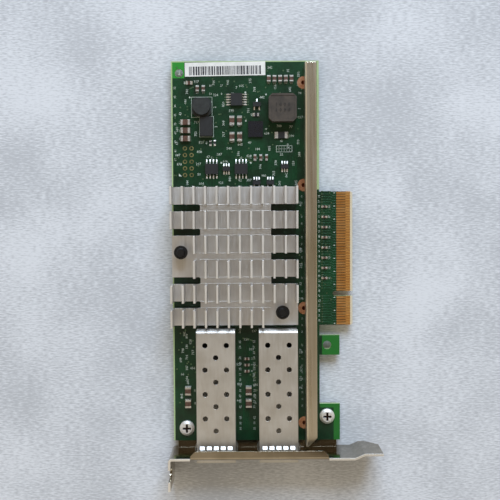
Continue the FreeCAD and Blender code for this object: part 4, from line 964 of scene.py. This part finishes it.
# %% Burrs beside each cut
LEFT_SLOT = 10.35
RIGHT_SLOT = 10.15
BURR_INSET = 0.1
BURR_WIDTH = 0.3
BURR_HEIGHT = 0.12
RIDGE_TOP = 0.3
sink_points = [v.co / MM for v in nodes["heat_sink"].data.vertices]
row_ends = sorted({round(p.y, 2) for p in sink_points if p.z > sink_high.z - 0.01})
base_top = sorted({round(p.z, 2) for p in sink_points})[1]
ridge = start_cube()
select_where(ridge, lambda point: point.z > 0.9)
bpy.ops.object.mode_set(mode="EDIT")
bpy.ops.transform.resize(value=(1, RIDGE_TOP, 1))
bpy.ops.object.mode_set(mode="OBJECT")
ridge_mesh = mesh_alone(ridge)
length = sink_high.x - sink_low.x - LEFT_SLOT - RIGHT_SLOT
burrs = []
for start, end in zip(row_ends[1:-1:2], row_ends[2:-1:2]):
    for line in (start + BURR_INSET, end - BURR_INSET):
        burrs.append(stamped(ridge_mesh, spot(sink_low.x + LEFT_SLOT, line, base_top)
                             @ sized(length * MM, BURR_WIDTH * MM, BURR_HEIGHT * MM)))
print("fin rows end at", row_ends, "base top", base_top)
# Freshly cut aluminium: brighter than the extruded skin round it.
finishes["cut_aluminium"] = make_finish(
    "sawn_aluminium_edge", ("#cfcbc5", "#e2dfda"), 3, 0.3, (0.48, 0.58), 0.002, (6, 1, 1), 0, Metallic=1)
settle(joined(burrs), "saw_burrs", finishes["cut_aluminium"])

# %% [markdown]
# ## The label
# The paper label carries a row of plain bars, which stand for no code at all. They follow the
# label's own small turn, which is read from the lower edge of the label's mesh.

# %% Bars on the label
BAR_THICK = 0.01
BAR_HEIGHT = 3.3
BAR_MIDDLE = 2.05
FIRST_BAR = 1.6
LAST_GAP = 1.8
THIN_BAR, BAR_STEP = 0.24, 0.2
THIN_GAP, GAP_STEP = 0.16, 0.1
label_points = [v.co / MM for v in nodes["paper_label"].data.vertices]
lower_left = min(label_points, key=lambda p: p.x + p.y)
lower_right = max(label_points, key=lambda p: p.x - p.y)
label_run = lower_right - lower_left
label_turn = math.degrees(math.atan2(label_run.y, label_run.x))
label_place = spot(lower_left.x, lower_left.y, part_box("paper_label")[1].z / MM, label_turn)
bar_plane = start_plane(-0.5, -0.5, 0.5, 0.5)
raise_plane(BAR_THICK)
bar_mesh = mesh_alone(bar_plane)
bars = []
along = FIRST_BAR
while along < label_run.length - LAST_GAP:
    thick = THIN_BAR + BAR_STEP * chance.randint(0, 2)
    place = label_place @ spot(along + thick / 2, BAR_MIDDLE, 0)
    bars.append(stamped(bar_mesh, place @ sized(thick, BAR_HEIGHT)))
    along += thick + THIN_GAP + GAP_STEP * chance.randint(0, 2)
# Thermal print on coated paper: a soft dark grey, never quite black.
finishes["thermal_print"] = make_finish(
    "thermal_print", ("#26262b", "#45454c"), 1.5, 0.2, (0.5, 0.65), 0.002, IOR=1.5)
settle(joined(bars), "label_bars", finishes["thermal_print"])

# %% [markdown]
# A power choke is marked with its value by a laser, as plain digits. Two short rows stand for it.

# %% Value marked on the power choke
DIGIT_WIDE = 2.0
DIGIT_PLACES = (-2.4, -0.8, 0.8, 2.4)
ROW_PLACES = (-1.0, 1.0)
choke_low, choke_high = (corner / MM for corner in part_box("power_choke"))
choke_middle = (choke_low + choke_high) / 2
marked = []
for line in ROW_PLACES:
    for step, digit in zip(DIGIT_PLACES, "1000"):
        marked.append(stamped(digits[digit], spot(choke_middle.x + step, choke_middle.y + line, choke_high.z)
                              @ sized(DIGIT_WIDE * MM, DIGIT_WIDE * MM, MM)))
# Laser burnt resin: the pressed powder gone darker.
finishes["laser_mark"] = make_finish(
    "laser_burnt_powder", ("#15110d", "#241e18"), 1, 0.15, (0.6, 0.75), 0.004, IOR=1.6)
settle(joined(marked), "choke_value", finishes["laser_mark"])

# %% [markdown]
# ## The table, the light and the camera
# The card lies on a pale brushed table. A wide cool lamp beyond its far end does most of the work,
# as a window would: its light runs along the fins, reaches the base between them and leaves a soft
# shadow outside the bracket. A weak second lamp fills that shadow a little.
# The room is warm and pale all round and brown right overhead, and flat metal mirrors that.
# The lamps are weak on purpose: a mid grey should come out as the grey that was written.

# %% Table
TABLE_SIZE = 3
bpy.ops.object.select_all(action="DESELECT")
bpy.ops.mesh.primitive_plane_add(size=TABLE_SIZE, location=(0, 0, cad_box[0][2]))
bpy.ops.object.transform_apply(location=True, rotation=True, scale=True)
table = bpy.context.object
table.name = "table"
# Brushed pale laminate: short streaks along the brushing, cool and matt.
table.data.materials.append(make_finish(
    "brushed_pale_laminate", ("#babdc2", "#dcdfe4"), 40, 0.5, (0.70, 0.82), 0.006, (4, 1, 1),
    grain_share=1.3, IOR=1.5))
print("table at", round(cad_box[0][2] / MM, 2), "mm")


# %% Lamps and room
def add_lamp(name, place_mm, aim_mm, size_mm, watts, tone):
    """A square soft lamp that faces the point it is aimed at."""
    light = bpy.data.lights.new(name, "AREA")
    light.size = size_mm * MM
    light.energy = watts
    light.color = linear(tone)[:3]
    lamp = bpy.data.objects.new(name, light)
    bpy.context.scene.collection.objects.link(lamp)
    aim = (Vector(aim_mm) - Vector(place_mm)).normalized()
    turned = aim.to_track_quat("-Z", "Y").to_matrix().to_4x4()
    lamp.matrix_world = Matrix.Translation(Vector(place_mm) * MM) @ turned


board_middle = (board_low + board_high) / 2
add_lamp("key_lamp", (180, 1300, 960), board_middle, 940, 31.0, "#d3e7ff")
add_lamp("fill_lamp", (-160, -420, 600), board_middle, 520, 0.35, "#fff3e0")
WALLS, CEILING = "#d8ccb8", "#75664f"
CEILING_START, CEILING_FULL = 0.82, 0.97
ROOM_STRENGTH = 0.8
room = bpy.data.worlds.new("pale_room")
bpy.context.scene.world = room
room.use_nodes = True
room_light = room.node_tree.nodes["Background"]
ray = add_node(room, "ShaderNodeTexCoord")
height_of_ray = add_node(room, "ShaderNodeSeparateXYZ", {0: ray.outputs["Generated"]})
overhead = add_node(room, "ShaderNodeMapRange", {"Value": height_of_ray.outputs["Z"],
                                                 "From Min": CEILING_START, "From Max": CEILING_FULL})
sky = add_node(room, "ShaderNodeMix", {0: overhead.outputs[0], 6: linear(WALLS), 7: linear(CEILING)},
               data_type="RGBA")
room.node_tree.links.new(sky.outputs[2], room_light.inputs["Color"])
room_light.inputs["Strength"].default_value = ROOM_STRENGTH

# %% Camera
AIM_ON_BOARD = Vector((LEFT + 29.7, NEAR + 73.4, BOARD_TOP))
CAMERA_DISTANCE = 316.0
CAMERA_TILT = math.radians(-2.0)
CAMERA_ROLL = math.radians(-0.33)
LENS, SENSOR = 59.4, 36.0
NEAR_CLIP = 0.01
eye = bpy.data.cameras.new("camera")
eye.sensor_width = SENSOR
eye.lens = LENS
eye.clip_start = NEAR_CLIP
camera = bpy.data.objects.new("camera", eye)
bpy.context.scene.collection.objects.link(camera)
turned = Matrix.Rotation(CAMERA_ROLL, 4, "Z") @ Matrix.Rotation(CAMERA_TILT, 4, "X")
back = turned @ Vector((0, 0, CAMERA_DISTANCE))
camera.matrix_world = Matrix.Translation((AIM_ON_BOARD + back) * MM) @ turned
bpy.context.scene.camera = camera
bpy.context.scene.view_settings.view_transform = "Standard"
print("camera at", [round(c, 1) for c in (AIM_ON_BOARD + back)], "mm")
